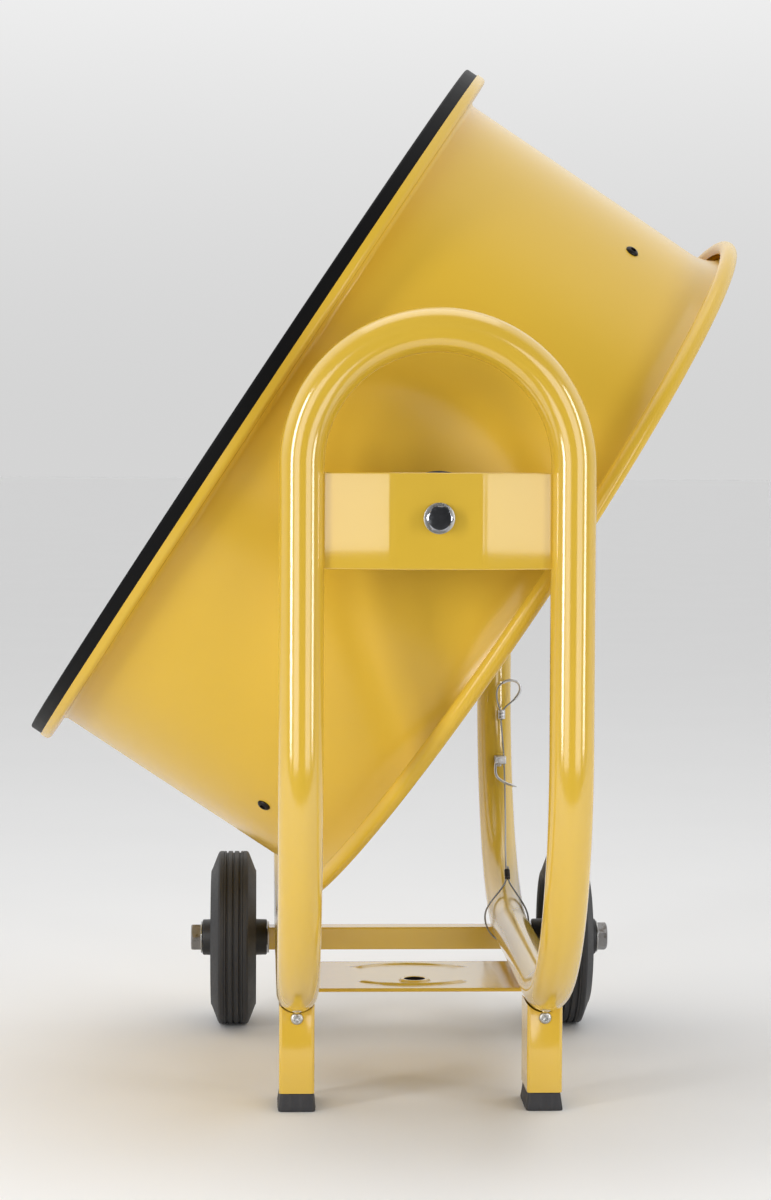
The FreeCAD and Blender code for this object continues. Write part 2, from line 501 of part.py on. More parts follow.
# fan: hub with three arms, three wide paddle blades
hub = turned([(FAN_U - 16, SH), (FAN_U - 16, 22), (FAN_U - 14, 24), (FAN_U - 2, 24), (FAN_U, 34), (FAN_U + 6, 34), (FAN_U + 8, 24),
              (FAN_U + 20, 24), (FAN_U + 22, 22), (FAN_U + 22, SH)])
def blade_section(r, chord, pitch_deg, camber, t, u0):
    """thin cambered section at radius r: chord across, turned by the pitch"""
    a = math.radians(pitch_deg)
    def pt(s, o):
        du, dy = s * math.sin(a) + o * math.cos(a), s * math.cos(a) - o * math.sin(a)
        return V(u0 + du, dy, r)
    h = chord / 2
    e = [Part.Arc(pt(-h, 0), pt(0, camber), pt(h, 0)).toShape(), Part.LineSegment(pt(h, 0), pt(h, t)).toShape(),
         Part.Arc(pt(h, t), pt(0, camber + t), pt(-h, t)).toShape(), Part.LineSegment(pt(-h, t), pt(-h, 0)).toShape()]
    return Part.Wire(e)
secs = []
for r, chord, pd, cb in ((58, 92, 36, 9), (100, 132, 33, 12), (160, 176, 29.5, 14), (220, 206, 26.5, 14), (270, 212, 24, 13), (300, 200, 22.5, 12)):
    secs.append(blade_section(r, chord, pd, cb, 1.6, FAN_U + 4))
blade = Part.makeLoft(secs, True, False)
blade = blade.common(cyl((-200, 0, 0), (1, 0, 0), FAN_R, 300))
bb = blade.BoundBox
arm = []
for i in range(3):
    a = box(FAN_U, -17, 30, FAN_U + 6, 17, 96)
    a.rotate(V(0, 0, 0), V(0, 0, 1), -34)
    a.translate(V(FAN_U * (1 - math.cos(math.radians(-34))), -FAN_U * math.sin(math.radians(-34)), 0))
    a.rotate(V(0, 0, 0), V(1, 0, 0), 120 * i)
    arm.append(a)
blades = polar(blade, 3)
hubarm = fuse([hub] + arm)
for b in blades:
    hubarm = hubarm.cut(b)
hubarm = hubarm.cut(cyl((-120, 0, 0), (1, 0, 0), SH, 200))
hubarm = sorted(hubarm.Solids, key=lambda q: -q.Volume)
save("fan_hub", hubarm[0], True)
for i, b in enumerate(blades):
    save("fan_blade_%d" % (i + 1), b, True)

# ---------------------------------------------------------------- tilt pivots, one each side
def pivots():
    disc, spacer, plate_, bolt, washer, nut = [], [], [], [], [], []
    for s in (-1, 1):
        gap = 0.6
        yi = BR_OUT - BR_T - gap
        disc.append(ring((0, s * (yi - 9), 0), (0, s, 0), 33.4, BOLT_R, 9))
        sp_ = ring((0, s * 290, 0), (0, s, 0), 19.0, BOLT_R, yi - 9 - 290)
        sp_ = sp_.fuse(ring((0, s * (yi - 9 - 4), 0), (0, s, 0), 30.0, BOLT_R, 4)).removeSplitter()
        sp_ = sp_.cut(cyl((-60, 0, 0), (1, 0, 0), WALL_R, 120))
        spacer.append(sorted(sp_.Solids, key=lambda q: -q.Volume)[0])
        p = ring((-60, 0, 0), (1, 0, 0), WALL_R - SHEET, WALL_R - SHEET - 3.0, 120)
        p = p.common(cyl((0, s * 280, 0), (0, s, 0), 46.0, 40)).cut(cyl((0, s * 280, 0), (0, s, 0), BOLT_R, 40))
        plate_.append(sorted(p.Solids, key=lambda q: -q.Volume)[0])
        b0 = BR_OUT + 0.3
        washer.append(ring((0, s * b0, 0), (0, s, 0), 11.0, BOLT_R, 2.2))
        hd = hexagon((0, s * (b0 + 2.2), 0), (0, s, 0), 17.0, 6.4, TILT)
        bolt.append(cyl((0, s * 280, 0), (0, s, 0), BOLT_R, b0 + 2.2 - 280).fuse(hd).removeSplitter())
        n = hexagon((0, s * 292.6, 0), (0, -s, 0), 17.0, 9.0, TILT).cut(cyl((0, s * 270, 0), (0, s, 0), BOLT_R, 40))
        nut.append(n)
    return disc, spacer, plate_, bolt, washer, nut
disc, spacer, plate_, bolt, washer, nut = pivots()
save("friction_discs", group(disc), True)
save("pivot_bosses", group(spacer), True)
save("pivot_bolts", group(bolt), True)
save("pivot_plates", group(plate_), True)
save("pivot_washers", group(washer), True)
save("pivot_nuts", group(nut), True)

# ---------------------------------------------------------------- switch box on the far side of the drum, knob, cable gland
def local(shape):
    """from a frame with z = outwards from the drum axis, y = round the drum"""
    m = FreeCAD.Matrix(1, 0, 0, 20, 0, tb[1], nb[1], 0, 0, tb[2], nb[2], 0, 0, 0, 0, 1)
    s = shape.copy()
    s.transformShape(m)
    return s
b0, b1 = 296.0, 346.0
GL = 331.0           # gland: its cable passes over the rolled bead
sb = box(-45, -34, b0 - 8, 45, 34, b1)
sb = sb.makeFillet(5.0, [e for e in sb.Edges if abs(e.tangentAt(e.FirstParameter).z) > 0.9])
inner = box(-42.5, -31.5, b0 - 10, 42.5, 31.5, b1 - 2.5)
sb = local(sb.cut(inner)).cut(cyl((-100, 0, 0), (1, 0, 0), WALL_R, 300))
sb = sb.cut(local(cyl((0, 0, 310), (0, 0, 1), 4.6, 60)))
sb = sb.cut(local(cyl((40, 0, GL), (1, 0, 0), 7.5, 20)))
save("switch_box", sorted(sb.Solids, key=lambda q: -q.Volume)[0], True)
sw = box(-13, -13, 318, 13, 13, b1 - 2.6).fuse(cyl((0, 0, b1 - 3), (0, 0, 1), 4.5, 3 + 2.2))
save("rotary_switch", local(sw.removeSplitter()), True)
knob = Part.makeCone(15.0, 12.0, 8.5, V(0, 0, b1 + 0.3)).cut(cyl((0, 0, b1), (0, 0, 1), 4.56, 3.4))
grip = box(-14.5, -3.2, b1 + 0.3, 12.0, 3.2, b1 + 8.8)
knob = knob.fuse(box(-12.6, -3.0, b1 + 8.7, 12.6, 3.0, b1 + 10.6)).removeSplitter()
save("speed_knob", local(knob), True)
gl = ring((45.0, 0, GL), (1, 0, 0), 11.5, 4.5, 5.5).fuse(ring((38, 0, GL), (1, 0, 0), 7.4, 4.5, 8)).fuse(ring((50, 0, GL), (1, 0, 0), 8.6, 4.5, 9)).removeSplitter()
save("cable_gland", local(gl), True)
save("bar_standoffs", group([cyl((BARS_U - 12.5, y * BARS_Y, v * 150), (1, 0, 0), 4.0, 87.8 - 3.7 + 1.4 - (BARS_U - 12.5)) for y in (-1, 1) for v in (-1, 1)]), True)
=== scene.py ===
import json
import math
import random
import bpy
import bmesh
from mathutils import Matrix, Vector

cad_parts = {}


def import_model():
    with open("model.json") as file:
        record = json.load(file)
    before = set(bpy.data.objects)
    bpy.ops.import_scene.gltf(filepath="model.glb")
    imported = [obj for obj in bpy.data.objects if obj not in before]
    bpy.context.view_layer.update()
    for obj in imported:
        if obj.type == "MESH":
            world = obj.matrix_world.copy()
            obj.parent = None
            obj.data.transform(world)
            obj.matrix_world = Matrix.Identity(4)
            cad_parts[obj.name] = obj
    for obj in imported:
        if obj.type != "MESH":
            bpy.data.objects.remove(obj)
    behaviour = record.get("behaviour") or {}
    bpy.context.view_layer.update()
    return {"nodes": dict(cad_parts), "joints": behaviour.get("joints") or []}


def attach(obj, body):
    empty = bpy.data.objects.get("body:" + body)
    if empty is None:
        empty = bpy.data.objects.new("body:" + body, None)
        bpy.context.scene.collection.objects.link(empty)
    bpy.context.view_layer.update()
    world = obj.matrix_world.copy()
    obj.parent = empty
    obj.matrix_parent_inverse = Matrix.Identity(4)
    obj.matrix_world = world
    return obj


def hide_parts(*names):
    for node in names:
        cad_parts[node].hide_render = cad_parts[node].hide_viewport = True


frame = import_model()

random.seed(7)
MM = 0.001

# ------------------------------------------------------------------ places, read from the frame
J = {j["name"]: j for j in frame["joints"]}
PIV = Vector(J["drum_tilt"]["pos_m"])
XP, ZP = PIV.x, PIV.z
AX = Vector(J["fan_spin"]["axis"]).normalized()
TILT = math.atan2(-AX.z, AX.x)
DRUM = Matrix.Translation(PIV) @ Matrix.Rotation(TILT, 4, "Y")      # local x = along the drum axis, z = up the drum
STAND = Matrix.Translation((XP, 0, 0))
TUBE_R, LEG_X, ARCH_Y, ARCH_Z = 16.0, 96.0, 350.0, 499.4
BEND_R, BASE_Z, BASE_Y = 205.0, 92.5, 145.0
AXLE_Y, AXLE_Z, WHEEL_X = 191.0, 76.6, 148.0

# ------------------------------------------------------------------ camera
def camera():
    f, yaw, pitch, roll = 2945.8, math.radians(-2.434), math.radians(2.845), math.radians(-0.258)
    right = Vector((math.cos(yaw), math.sin(yaw), 0))
    fwd = Vector((-math.sin(yaw), math.cos(yaw), 0))
    down = Vector((0, 0, -1))
    f2 = fwd * math.cos(pitch) + down * math.sin(pitch)
    d2 = down * math.cos(pitch) - fwd * math.sin(pitch)
    r3 = right * math.cos(roll) + d2 * math.sin(roll)
    d3 = d2 * math.cos(roll) - right * math.sin(roll)
    cam = bpy.data.objects.new("camera", bpy.data.cameras.new("camera"))
    m = Matrix((r3, -d3, -f2)).transposed().to_4x4()
    m.translation = Vector((XP - 0.1249, -2.4236, 0.4751 + 0.033))
    cam.matrix_world = m
    cam.data.sensor_width = 36.0
    cam.data.lens = f / 1200.0 * 36.0
    cam.data.clip_end = 60
    bpy.context.scene.collection.objects.link(cam)
    bpy.context.scene.camera = cam

camera()

# ------------------------------------------------------------------ materials
def srgb(r, g, b):
    def c(x):
        x /= 255.0
        return x / 12.92 if x <= 0.04045 else ((x + 0.055) / 1.055) ** 2.4
    return (c(r), c(g), c(b), 1.0)

class Nodes:
    def __init__(self, name):
        self.m = bpy.data.materials.new(name)
        self.m.use_nodes = True
        self.t = self.m.node_tree
        self.t.nodes.clear()
        self.out = self.n("ShaderNodeOutputMaterial")
        self.p = self.n("ShaderNodeBsdfPrincipled")
        self.link(self.p.outputs[0], self.out.inputs[0])
        self.co = self.n("ShaderNodeTexCoord").outputs["Object"]
    def n(self, kind, **kw):
        x = self.t.nodes.new(kind)
        for k, v in kw.items():
            setattr(x, k, v)
        return x
    def link(self, a, b):
        self.t.links.new(a, b)
    def noise(self, scale, detail=3.0, rough=0.5, stretch=None, distort=0.0):
        co = self.co
        if stretch:
            mp = self.n("ShaderNodeMapping")
            mp.inputs["Scale"].default_value = stretch
            self.link(self.co, mp.inputs["Vector"])
            co = mp.outputs[0]
        x = self.n("ShaderNodeTexNoise")
        x.inputs["Scale"].default_value = scale
        x.inputs["Detail"].default_value = detail
        x.inputs["Roughness"].default_value = rough
        x.inputs["Distortion"].default_value = distort
        self.link(co, x.inputs["Vector"])
        return x.outputs["Fac"]
    def voronoi(self, scale, feature="F1"):
        x = self.n("ShaderNodeTexVoronoi")
        x.feature = feature
        x.inputs["Scale"].default_value = scale
        self.link(self.co, x.inputs["Vector"])
        return x.outputs["Distance"]
    def ramp(self, fac, stops):
        x = self.n("ShaderNodeValToRGB")
        e = x.color_ramp.elements
        while len(e) < len(stops):
            e.new(0.5)
        for i, (pos, col) in enumerate(stops):
            e[i].position = pos
            e[i].color = col
        self.link(fac, x.inputs[0])
        return x.outputs[0]
    def span(self, fac, a, b, lo=0.3, hi=0.7):
        x = self.n("ShaderNodeMapRange")
        x.inputs["From Min"].default_value = lo
        x.inputs["From Max"].default_value = hi
        x.inputs["To Min"].default_value = a
        x.inputs["To Max"].default_value = b
        self.link(fac, x.inputs["Value"])
        return x.outputs[0]
    def mix(self, fac, a, b, kind="MIX"):
        x = self.n("ShaderNodeMix", data_type="RGBA", blend_type=kind)
        for s, v in ((0, fac), (6, a), (7, b)):
            if hasattr(v, "is_output"):
                self.link(v, x.inputs[s])
            else:
                x.inputs[s].default_value = v
        return x.outputs[2]
    def math(self, op, a, b=0.0, clamp=False):
        x = self.n("ShaderNodeMath", operation=op, use_clamp=clamp)
        for s, v in ((0, a), (1, b)):
            if hasattr(v, "is_output"):
                self.link(v, x.inputs[s])
            else:
                x.inputs[s].default_value = v
        return x.outputs[0]
    def color(self, v):
        self.link(v, self.p.inputs["Base Color"])
    def rough(self, v):
        self.link(v, self.p.inputs["Roughness"])
    def bump(self, height, strength, dist):
        x = self.n("ShaderNodeBump")
        x.inputs["Strength"].default_value = strength
        x.inputs["Distance"].default_value = dist
        self.link(height, x.inputs["Height"])
        last = getattr(self, "_b", None)
        if last is not None:
            self.link(last, x.inputs["Normal"])
        self._b = x.outputs[0]
        self.link(self._b, self.p.inputs["Normal"])
    def set(self, **kw):
        for k, v in kw.items():
            self.p.inputs[k.replace("_", " ")].default_value = v
        return self.m

def scale_col(c, k):
    return (c[0] * k, c[1] * k, c[2] * k, 1.0)

def powder(name, base, rough=(0.13, 0.18), peel=0.035, coat=0.0, ior=1.8):
    """gloss powder coat: faint orange peel and cloudiness"""
    g = Nodes(name)
    cloud = g.noise(5.0, 3.0, 0.5)
    fine = g.noise(120.0, 3.0, 0.6)
    c = g.ramp(cloud, [(0.3, scale_col(base, 0.97)), (0.5, base), (0.72, scale_col(base, 1.02))])
    g.color(c)
    r = g.math("ADD", g.span(cloud, rough[0], rough[1]), g.span(fine, -0.015, 0.02))
    g.rough(r)
    g.bump(g.noise(260.0, 2.0, 0.4), peel, 0.0003)
    g.bump(g.noise(28.0, 2.0, 0.4), peel * 0.6, 0.0010)
    return g.set(Metallic=0.0, Coat_Weight=coat, Coat_Roughness=0.13, IOR=ior)

M = {}
YEL = srgb(224, 184, 60)
M["yellow"] = powder("yellow_powder_coat", YEL, coat=0.5)
M["yellow_shell"] = powder("yellow_powder_coat_shell", YEL, (0.19, 0.25), 0.03, 0.0, 1.45)
M["black"] = powder("black_powder_coat", srgb(20, 20, 21), (0.42, 0.52), 0.10, 0.0, 1.25)
next(n for n in M["black"].node_tree.nodes if n.type == "BSDF_PRINCIPLED").inputs["Specular IOR Level"].default_value = 0.22
M["black_wire"] = powder("black_wire_coat", srgb(26, 26, 27), (0.30, 0.42), 0.06, 0.0, 1.45)
M["motor"] = powder("motor_enamel", srgb(48, 49, 52), (0.35, 0.48), 0.10, 0.0, 1.45)

def rubber(name, base, sc=1.0):
    g = Nodes(name)
    n1 = g.noise(35.0, 5.0, 0.6)
    n2 = g.noise(480.0 * sc, 3.0, 0.6)
    c = g.ramp(n1, [(0.3, scale_col(base, 0.8)), (0.55, base), (0.8, scale_col(base, 1.35))])
    g.color(c)
    g.rough(g.math("ADD", g.span(n1, 0.48, 0.66), g.span(n2, -0.05, 0.06)))
    g.bump(n2, 0.22, 0.0003)
    g.bump(g.noise(90.0, 3.0, 0.5), 0.10, 0.0005)
    return g.set(Specular_IOR_Level=0.42)

M["tyre"] = rubber("tyre_rubber", srgb(47, 47, 49))
M["foot"] = rubber("foot_rubber", srgb(50, 50, 53))

def plastic(name, base, rough=(0.38, 0.5), grain=0.16):
    g = Nodes(name)
    n1 = g.noise(22.0, 4.0, 0.5)
    g.color(g.ramp(n1, [(0.3, scale_col(base, 0.9)), (0.7, scale_col(base, 1.12))]))
    g.rough(g.span(n1, *rough))
    g.bump(g.voronoi(1400.0), grain, 0.0002)
    return g.set()

M["plastic"] = plastic("black_moulded_plastic", srgb(34, 34, 36))
M["knob"] = plastic("knob_plastic", srgb(28, 28, 30), (0.28, 0.36), 0.08)

def metal(name, base, rough=(0.22, 0.38), stretch=None, grain=0.08, metallic=1.0, spots=None):
    g = Nodes(name)
    n1 = g.noise(60.0, 5.0, 0.6)
    n2 = g.noise(900.0, 2.0, 0.5, stretch)
    c = g.ramp(n1, [(0.28, scale_col(base, 0.82)), (0.55, base), (0.8, scale_col(base, 1.12))])
    if spots:
        f = g.ramp(g.noise(140.0, 4.0, 0.65), [(0.52, (0, 0, 0, 1)), (0.68, (1, 1, 1, 1))])
        c = g.mix(f, c, spots)
    g.color(c)
    g.rough(g.math("ADD", g.span(n1, *rough), g.span(n2, -0.05, 0.06)))
    g.bump(n2, grain, 0.0002)
    return g.set(Metallic=metallic)

M["zinc"] = metal("bright_zinc", srgb(196, 196, 194), (0.24, 0.4))
M["chrome"] = metal("polished_bolt", srgb(158, 160, 166), (0.07, 0.14), grain=0.03)
M["dull_zinc"] = metal("dull_zinc", srgb(158, 157, 158), (0.40, 0.58), grain=0.15, spots=srgb(112, 106, 100))
M["dark_screw"] = metal("dark_screw", srgb(52, 50, 50), (0.35, 0.5), grain=0.1)
M["castalu"] = metal("cast_aluminium", srgb(165, 167, 170), (0.38, 0.55), grain=0.22)
M["alu"] = metal("rolled_aluminium", srgb(196, 198, 201), (0.24, 0.36), (1, 18, 1), 0.08)
M["rope"] = metal("galvanised_strand", srgb(168, 168, 166), (0.28, 0.44), grain=0.1)
M["ferrule"] = metal("ferrule_aluminium", srgb(214, 214, 216), (0.28, 0.42), grain=0.12)
M["dark_ferrule"] = metal("dark_ferrule", srgb(70, 68, 66), (0.35, 0.5), grain=0.12)
M["winding"] = metal("laminations", srgb(120, 112, 104), (0.4, 0.55), grain=0.1)

# ------------------------------------------------------------------ mesh helpers
def obj_from_bm(name, bm, mat, angle=35.0, mw=None):
    me = bpy.data.meshes.new(name)
    bmesh.ops.recalc_face_normals(bm, faces=bm.faces)
    bm.to_mesh(me)
    bm.free()
    for p in me.polygons:
        p.use_smooth = True
    me.set_sharp_from_angle(angle=math.radians(angle))
    me.materials.append(mat)
    o = bpy.data.objects.new(name, me)
    bpy.context.scene.collection.objects.link(o)
    if mw is not None:
        me.transform(mw)
    return o

def grid_faces(bm, rows, close_u=True, close_v=True):
    """rows: list of lists of BMVert"""
    n, m = len(rows), len(rows[0])
    for i in range(n if close_u else n - 1):
        a, b = rows[i], rows[(i + 1) % n]
        for j in range(m if close_v else m - 1):
            k = (j + 1) % m
            try:
                bm.faces.new((a[j], a[k], b[k], b[j]))
            except ValueError:
                pass

def lathe_into(bm, profile, seg, closed=True, wobble=None):
    """revolve (u, r) in mm about x; closed profiles give a ring, open ones are capped on the axis"""
    rows = []
    for i in range(seg):
        a = 2 * math.pi * i / seg
        ca, sa = math.cos(a), math.sin(a)
        row = []
        for u, r in profile:
            if wobble:
                u, r = wobble(u, r, a)
            row.append(bm.verts.new((u * MM, -r * sa * MM, r * ca * MM)))
        rows.append(row)
    grid_faces(bm, rows, True, closed)
    if not closed:
        for e in (0, -1):
            if profile[e][1] > 1e-6:
                vs = [r[e] for r in rows]
                bm.faces.new(vs if e else vs[::-1])
    return rows

def lathe(name, profile, mat, mw, seg=128, closed=True, angle=35.0, wobble=None):
    bm = bmesh.new()
    lathe_into(bm, profile, seg, closed, wobble)
    bmesh.ops.remove_doubles(bm, verts=bm.verts, dist=1e-7)
    return obj_from_bm(name, bm, mat, angle, mw)

def round_profile(pts, radii, n=5, closed=True):
    """polygon corners (u, r) rounded with arcs"""
    out = []
    N = len(pts)
    for i in range(N):
        rad = radii[i] if isinstance(radii, (list, tuple)) else radii
        p = Vector(pts[i])
        if rad <= 0 or (not closed and i in (0, N - 1)):
            out.append(tuple(p))
            continue
        a, b = (Vector(pts[i - 1]) - p), (Vector(pts[(i + 1) % N]) - p)
        la, lb = a.length, b.length
        a.normalize(); b.normalize()
        ang = a.angle(b)
        d = min(rad / math.tan(ang / 2), la * 0.49, lb * 0.49)
        rr = d * math.tan(ang / 2)
        c = p + (a + b).normalized() * (rr / math.sin(ang / 2))
        s, e = p + a * d - c, p + b * d - c
        sa, ea = math.atan2(s.y, s.x), math.atan2(e.y, e.x)
        da = (ea - sa + math.pi) % (2 * math.pi) - math.pi
        for k in range(n + 1):
            t = sa + da * k / n
            out.append((c.x + rr * math.cos(t), c.y + rr * math.sin(t)))
    return out

def sheet_profile(start, heading, path, t, step=6.0):
    """bent sheet section: ('L', length) and ('A', radius, turn, + is left)"""
    x, y, h = start[0], start[1], math.radians(heading)
    k = t / 2
    left, right = [], []
    def put(x, y, h):
        left.append((x - math.sin(h) * k, y + math.cos(h) * k))
        right.append((x + math.sin(h) * k, y - math.cos(h) * k))
    put(x, y, h)
    for seg in path:
        if seg[0] == "L":
            n = max(1, int(seg[1] / 24))
            for i in range(n):
                x += math.cos(h) * seg[1] / n
                y += math.sin(h) * seg[1] / n
                put(x, y, h)
        else:
            rad, tu = seg[1], math.radians(seg[2])
            s = 1 if tu > 0 else -1
            cx, cy = x - math.sin(h) * s * rad, y + math.cos(h) * s * rad
            n = max(3, int(abs(seg[2]) / step))
            for i in range(n):
                h += tu / n
                x, y = cx + math.sin(h) * s * rad, cy - math.cos(h) * s * rad
                put(x, y, h)
    return left + right[::-1]

def arc_pts(c, a, b, a0, a1, n):
    """points on the circle c + a cos + b sin"""
    c, a, b = Vector(c), Vector(a), Vector(b)
    return [c + a * math.cos(math.radians(a0 + (a1 - a0) * i / n)) + b * math.sin(math.radians(a0 + (a1 - a0) * i / n)) for i in range(n + 1)]

def clean_path(pts):
    out = [Vector(pts[0])]
    for p in pts[1:]:
        if (Vector(p) - out[-1]).length > 1e-4:
            out.append(Vector(p))
    return out

def frames(pts, up=None, closed=False):
    """parallel-transported frames along a path"""
    n = len(pts)
    tan = []
    for i in range(n):
        if closed:
            t = pts[(i + 1) % n] - pts[i - 1]
        elif i == 0:
            t = pts[1] - pts[0]
        elif i == n - 1:
            t = pts[-1] - pts[-2]
        else:
            t = (pts[i + 1] - pts[i]).normalized() + (pts[i] - pts[i - 1]).normalized()
        tan.append(t.normalized())
    u = Vector(up) if up is not None else (Vector((0, 0, 1)) if abs(tan[0].z) < 0.9 else Vector((1, 0, 0)))
    u = (u - tan[0] * u.dot(tan[0])).normalized()
    fr = []
    for i in range(n):
        if i:
            q = tan[i - 1].rotation_difference(tan[i])
            u = q @ u
            u = (u - tan[i] * u.dot(tan[i])).normalized()
        fr.append((pts[i], tan[i], u, tan[i].cross(u)))
    return fr

def sweep_into(bm, pts, r, sides=24, cap=True, up=None, closed=False, rfun=None, shape=None):
    fr = frames(pts, up, closed)
    rows = []
    for i, (p, t, u, w) in enumerate(fr):
        rr = rfun(i / (len(fr) - 1)) if rfun else r
        row = []
        for j in range(sides):
            a = 2 * math.pi * j / sides
            if shape:
                sx, sy = shape(a)
            else:
                sx, sy = math.cos(a), math.sin(a)
            row.append(bm.verts.new((p + u * sx * rr + w * sy * rr) * MM))
        rows.append(row)
    grid_faces(bm, rows, closed, True)
    if cap and not closed:
        bm.faces.new(rows[0][::-1])
        bm.faces.new(rows[-1])
    return rows

def sweep(name, pts, r, mat, mw, **kw):
    bm = bmesh.new()
    sweep_into(bm, pts, r, **kw)
    return obj_from_bm(name, bm, mat, 40.0, mw)

def beveled(name, bm, mat, mw, width, seg=3, angle=30.0):
    o = obj_from_bm(name, bm, mat, angle, mw)
    m = o.modifiers.new("bevel", "BEVEL")
    m.width = width * MM
    m.segments = seg
    m.limit_method = "ANGLE"
    m.angle_limit = math.radians(30)
    m.harden_normals = False
    return o

def box_into(bm, x0, y0, z0, x1, y1, z1):
    r = bmesh.ops.create_cube(bm, size=1.0)["verts"]
    for v in r:
        v.co = Vector(((x0 + x1) / 2 + v.co.x * (x1 - x0), (y0 + y1) / 2 + v.co.y * (y1 - y0), (z0 + z1) / 2 + v.co.z * (z1 - z0))) * MM
    return r

def frame_at(p, d, spin=0.0):
    """matrix with local x along d, standing on p (mm)"""
    q = Vector((1, 0, 0)).rotation_difference(Vector(d).normalized())
    return Matrix.Translation(Vector(p) * MM) @ q.to_matrix().to_4x4() @ Matrix.Rotation(math.radians(spin), 4, "X")

def hex_head(name, p, d, af, h, mat, mw, spin=0.0, dish=0.0, washer=None):
    """chamfered hexagon head along d, with a turned top face"""
    bm = bmesh.new()
    seg = 144
    zs = [0.0, h * 0.55, h * 0.68, h * 0.78, h * 0.86, h * 0.93, h]
    rc = af / 2 * 0.965
    rows = []
    for z in zs:
        row = []
        for i in range(seg):
            a = 2 * math.pi * i / seg
            k = ((math.degrees(a) + 30) % 60) - 30
            rh = af / 2 / math.cos(math.radians(k))
            cone = rc + (h - z) * 1.8
            edge = 0.25 * (1 - math.cos(math.radians(k)) / math.cos(math.radians(30))) if abs(k) > 27 else 0
            r = min(rh, cone)
            row.append(bm.verts.new((z * MM, r * math.cos(a) * MM, r * math.sin(a) * MM)))
        rows.append(row)
    for rr, zz in ((rc * 0.97, h + 0.12), (rc * 0.90, h + 0.16 - dish * 0.3), (rc * 0.6, h + 0.16 - dish), (rc * 0.25, h + 0.16 - dish)):
        rows.append([bm.verts.new((zz * MM, rr * math.cos(2 * math.pi * i / seg) * MM, rr * math.sin(2 * math.pi * i / seg) * MM)) for i in range(seg)])
    grid_faces(bm, rows, False, True)
    bm.faces.new(rows[0][::-1])
    bm.faces.new(rows[-1])
    if washer:
        wr, wt = washer
        prof = round_profile([(0, wr * 0.2), (0, wr), (wt, wr), (wt, wr * 0.2)], [0, 0.3, 0.5, 0], 3)
        lathe_into(bm, [(u, r) for u, r in prof], 96, True)
    return obj_from_bm(name, bm, mat, 25.0, mw @ frame_at(p, d, spin))

def join(name, objs):
    """one mesh from several"""
    dg = bpy.context.evaluated_depsgraph_get()
    bm = bmesh.new()
    mats = []
    for o in objs:
        me = o.evaluated_get(dg).to_mesh()
        tmp = bmesh.new()
        tmp.from_mesh(me)
        tmp.transform(o.matrix_world)
        t = bpy.data.meshes.new("t")
        tmp.to_mesh(t)
        tmp.free()
        bm.from_mesh(t)
        bpy.data.meshes.remove(t)
    me = bpy.data.meshes.new(name)
    bm.to_mesh(me)
    bm.free()
    me.materials.append(objs[0].data.materials[0])
    o2 = bpy.data.objects.new(name, me)
    bpy.context.scene.collection.objects.link(o2)
    for o in objs:
        bpy.data.objects.remove(o)
    return o2

def on(o, body, slot, *nodes):
    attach(o, body)
    if nodes:
        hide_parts(*nodes)
    return o

# ================================================================== the stand
def arch_path(s):
    c1, c2 = (-LEG_X, s * BASE_Y, BASE_Z + BEND_R), (LEG_X, s * BASE_Y, BASE_Z + BEND_R)
    a = arc_pts(c1, (0, 0, -BEND_R), (0, s * BEND_R, 0), 0, 90, 40)
    top = arc_pts((0, s * ARCH_Y, ARCH_Z), (-LEG_X, 0, 0), (0, 0, LEG_X), 0, 180, 72)
    b = arc_pts(c2, (0, 0, -BEND_R), (0, s * BEND_R, 0), 90, 0, 40)
    def run(p, q, n):
        return [p.lerp(q, i / n) for i in range(1, n)]
    return clean_path(a + run(a[-1], top[0], 12) + top + run(top[-1], b[0], 12) + b)

for nm, s in (("near", -1), ("far", 1)):
    o = sweep("stand_arch_" + nm, arch_path(s), TUBE_R, M["yellow"], STAND, sides=56, up=(1, 0, 0), cap=False)
    on(o, "stand", "yellow_enamel", "arch_" + nm)
for nm, x in (("left", -LEG_X), ("right", LEG_X)):
    pts = [Vector((x, -BASE_Y + 2 * BASE_Y * i / 24, BASE_Z)) for i in range(25)]
    o = sweep("stand_base_tube_" + nm, pts, TUBE_R, M["yellow"], STAND, sides=56, up=(1, 0, 0), cap=False)
    on(o, "stand", "yellow_enamel", "base_tube_" + nm)

def weld(name, pts, r, seed, mat="yellow", body="stand", slot="yellow_enamel", mw=None):
    """a lumpy bead along a path"""
    rnd = random.Random(seed)
    ph = rnd.random() * 6
    n = len(pts)
    L = sum((pts[i + 1] - pts[i]).length for i in range(n - 1))
    def rf(t):
        e = min(1.0, 6 * t, 6 * (1 - t)) ** 0.5
        return r * max(0.25, e) * (1 + 0.14 * math.sin(t * L / 2.6 * 2 * math.pi / 1.6 + ph) + 0.06 * math.sin(t * L * 0.9 + 2 * ph))
    o = sweep(name, pts, r, M[mat], mw if mw is not None else STAND, sides=12, rfun=rf)
    return on(o, body, slot)

def seg_pts(a, b, n=40):
    a, b = Vector(a), Vector(b)
    return [a.lerp(b, i / n) for i in range(n + 1)]

def tube_z(y):
    """height of the base tube's centre line"""
    d = max(0.0, abs(y) - BASE_Y)
    return BASE_Z + BEND_R - math.sqrt(BEND_R ** 2 - d * d)

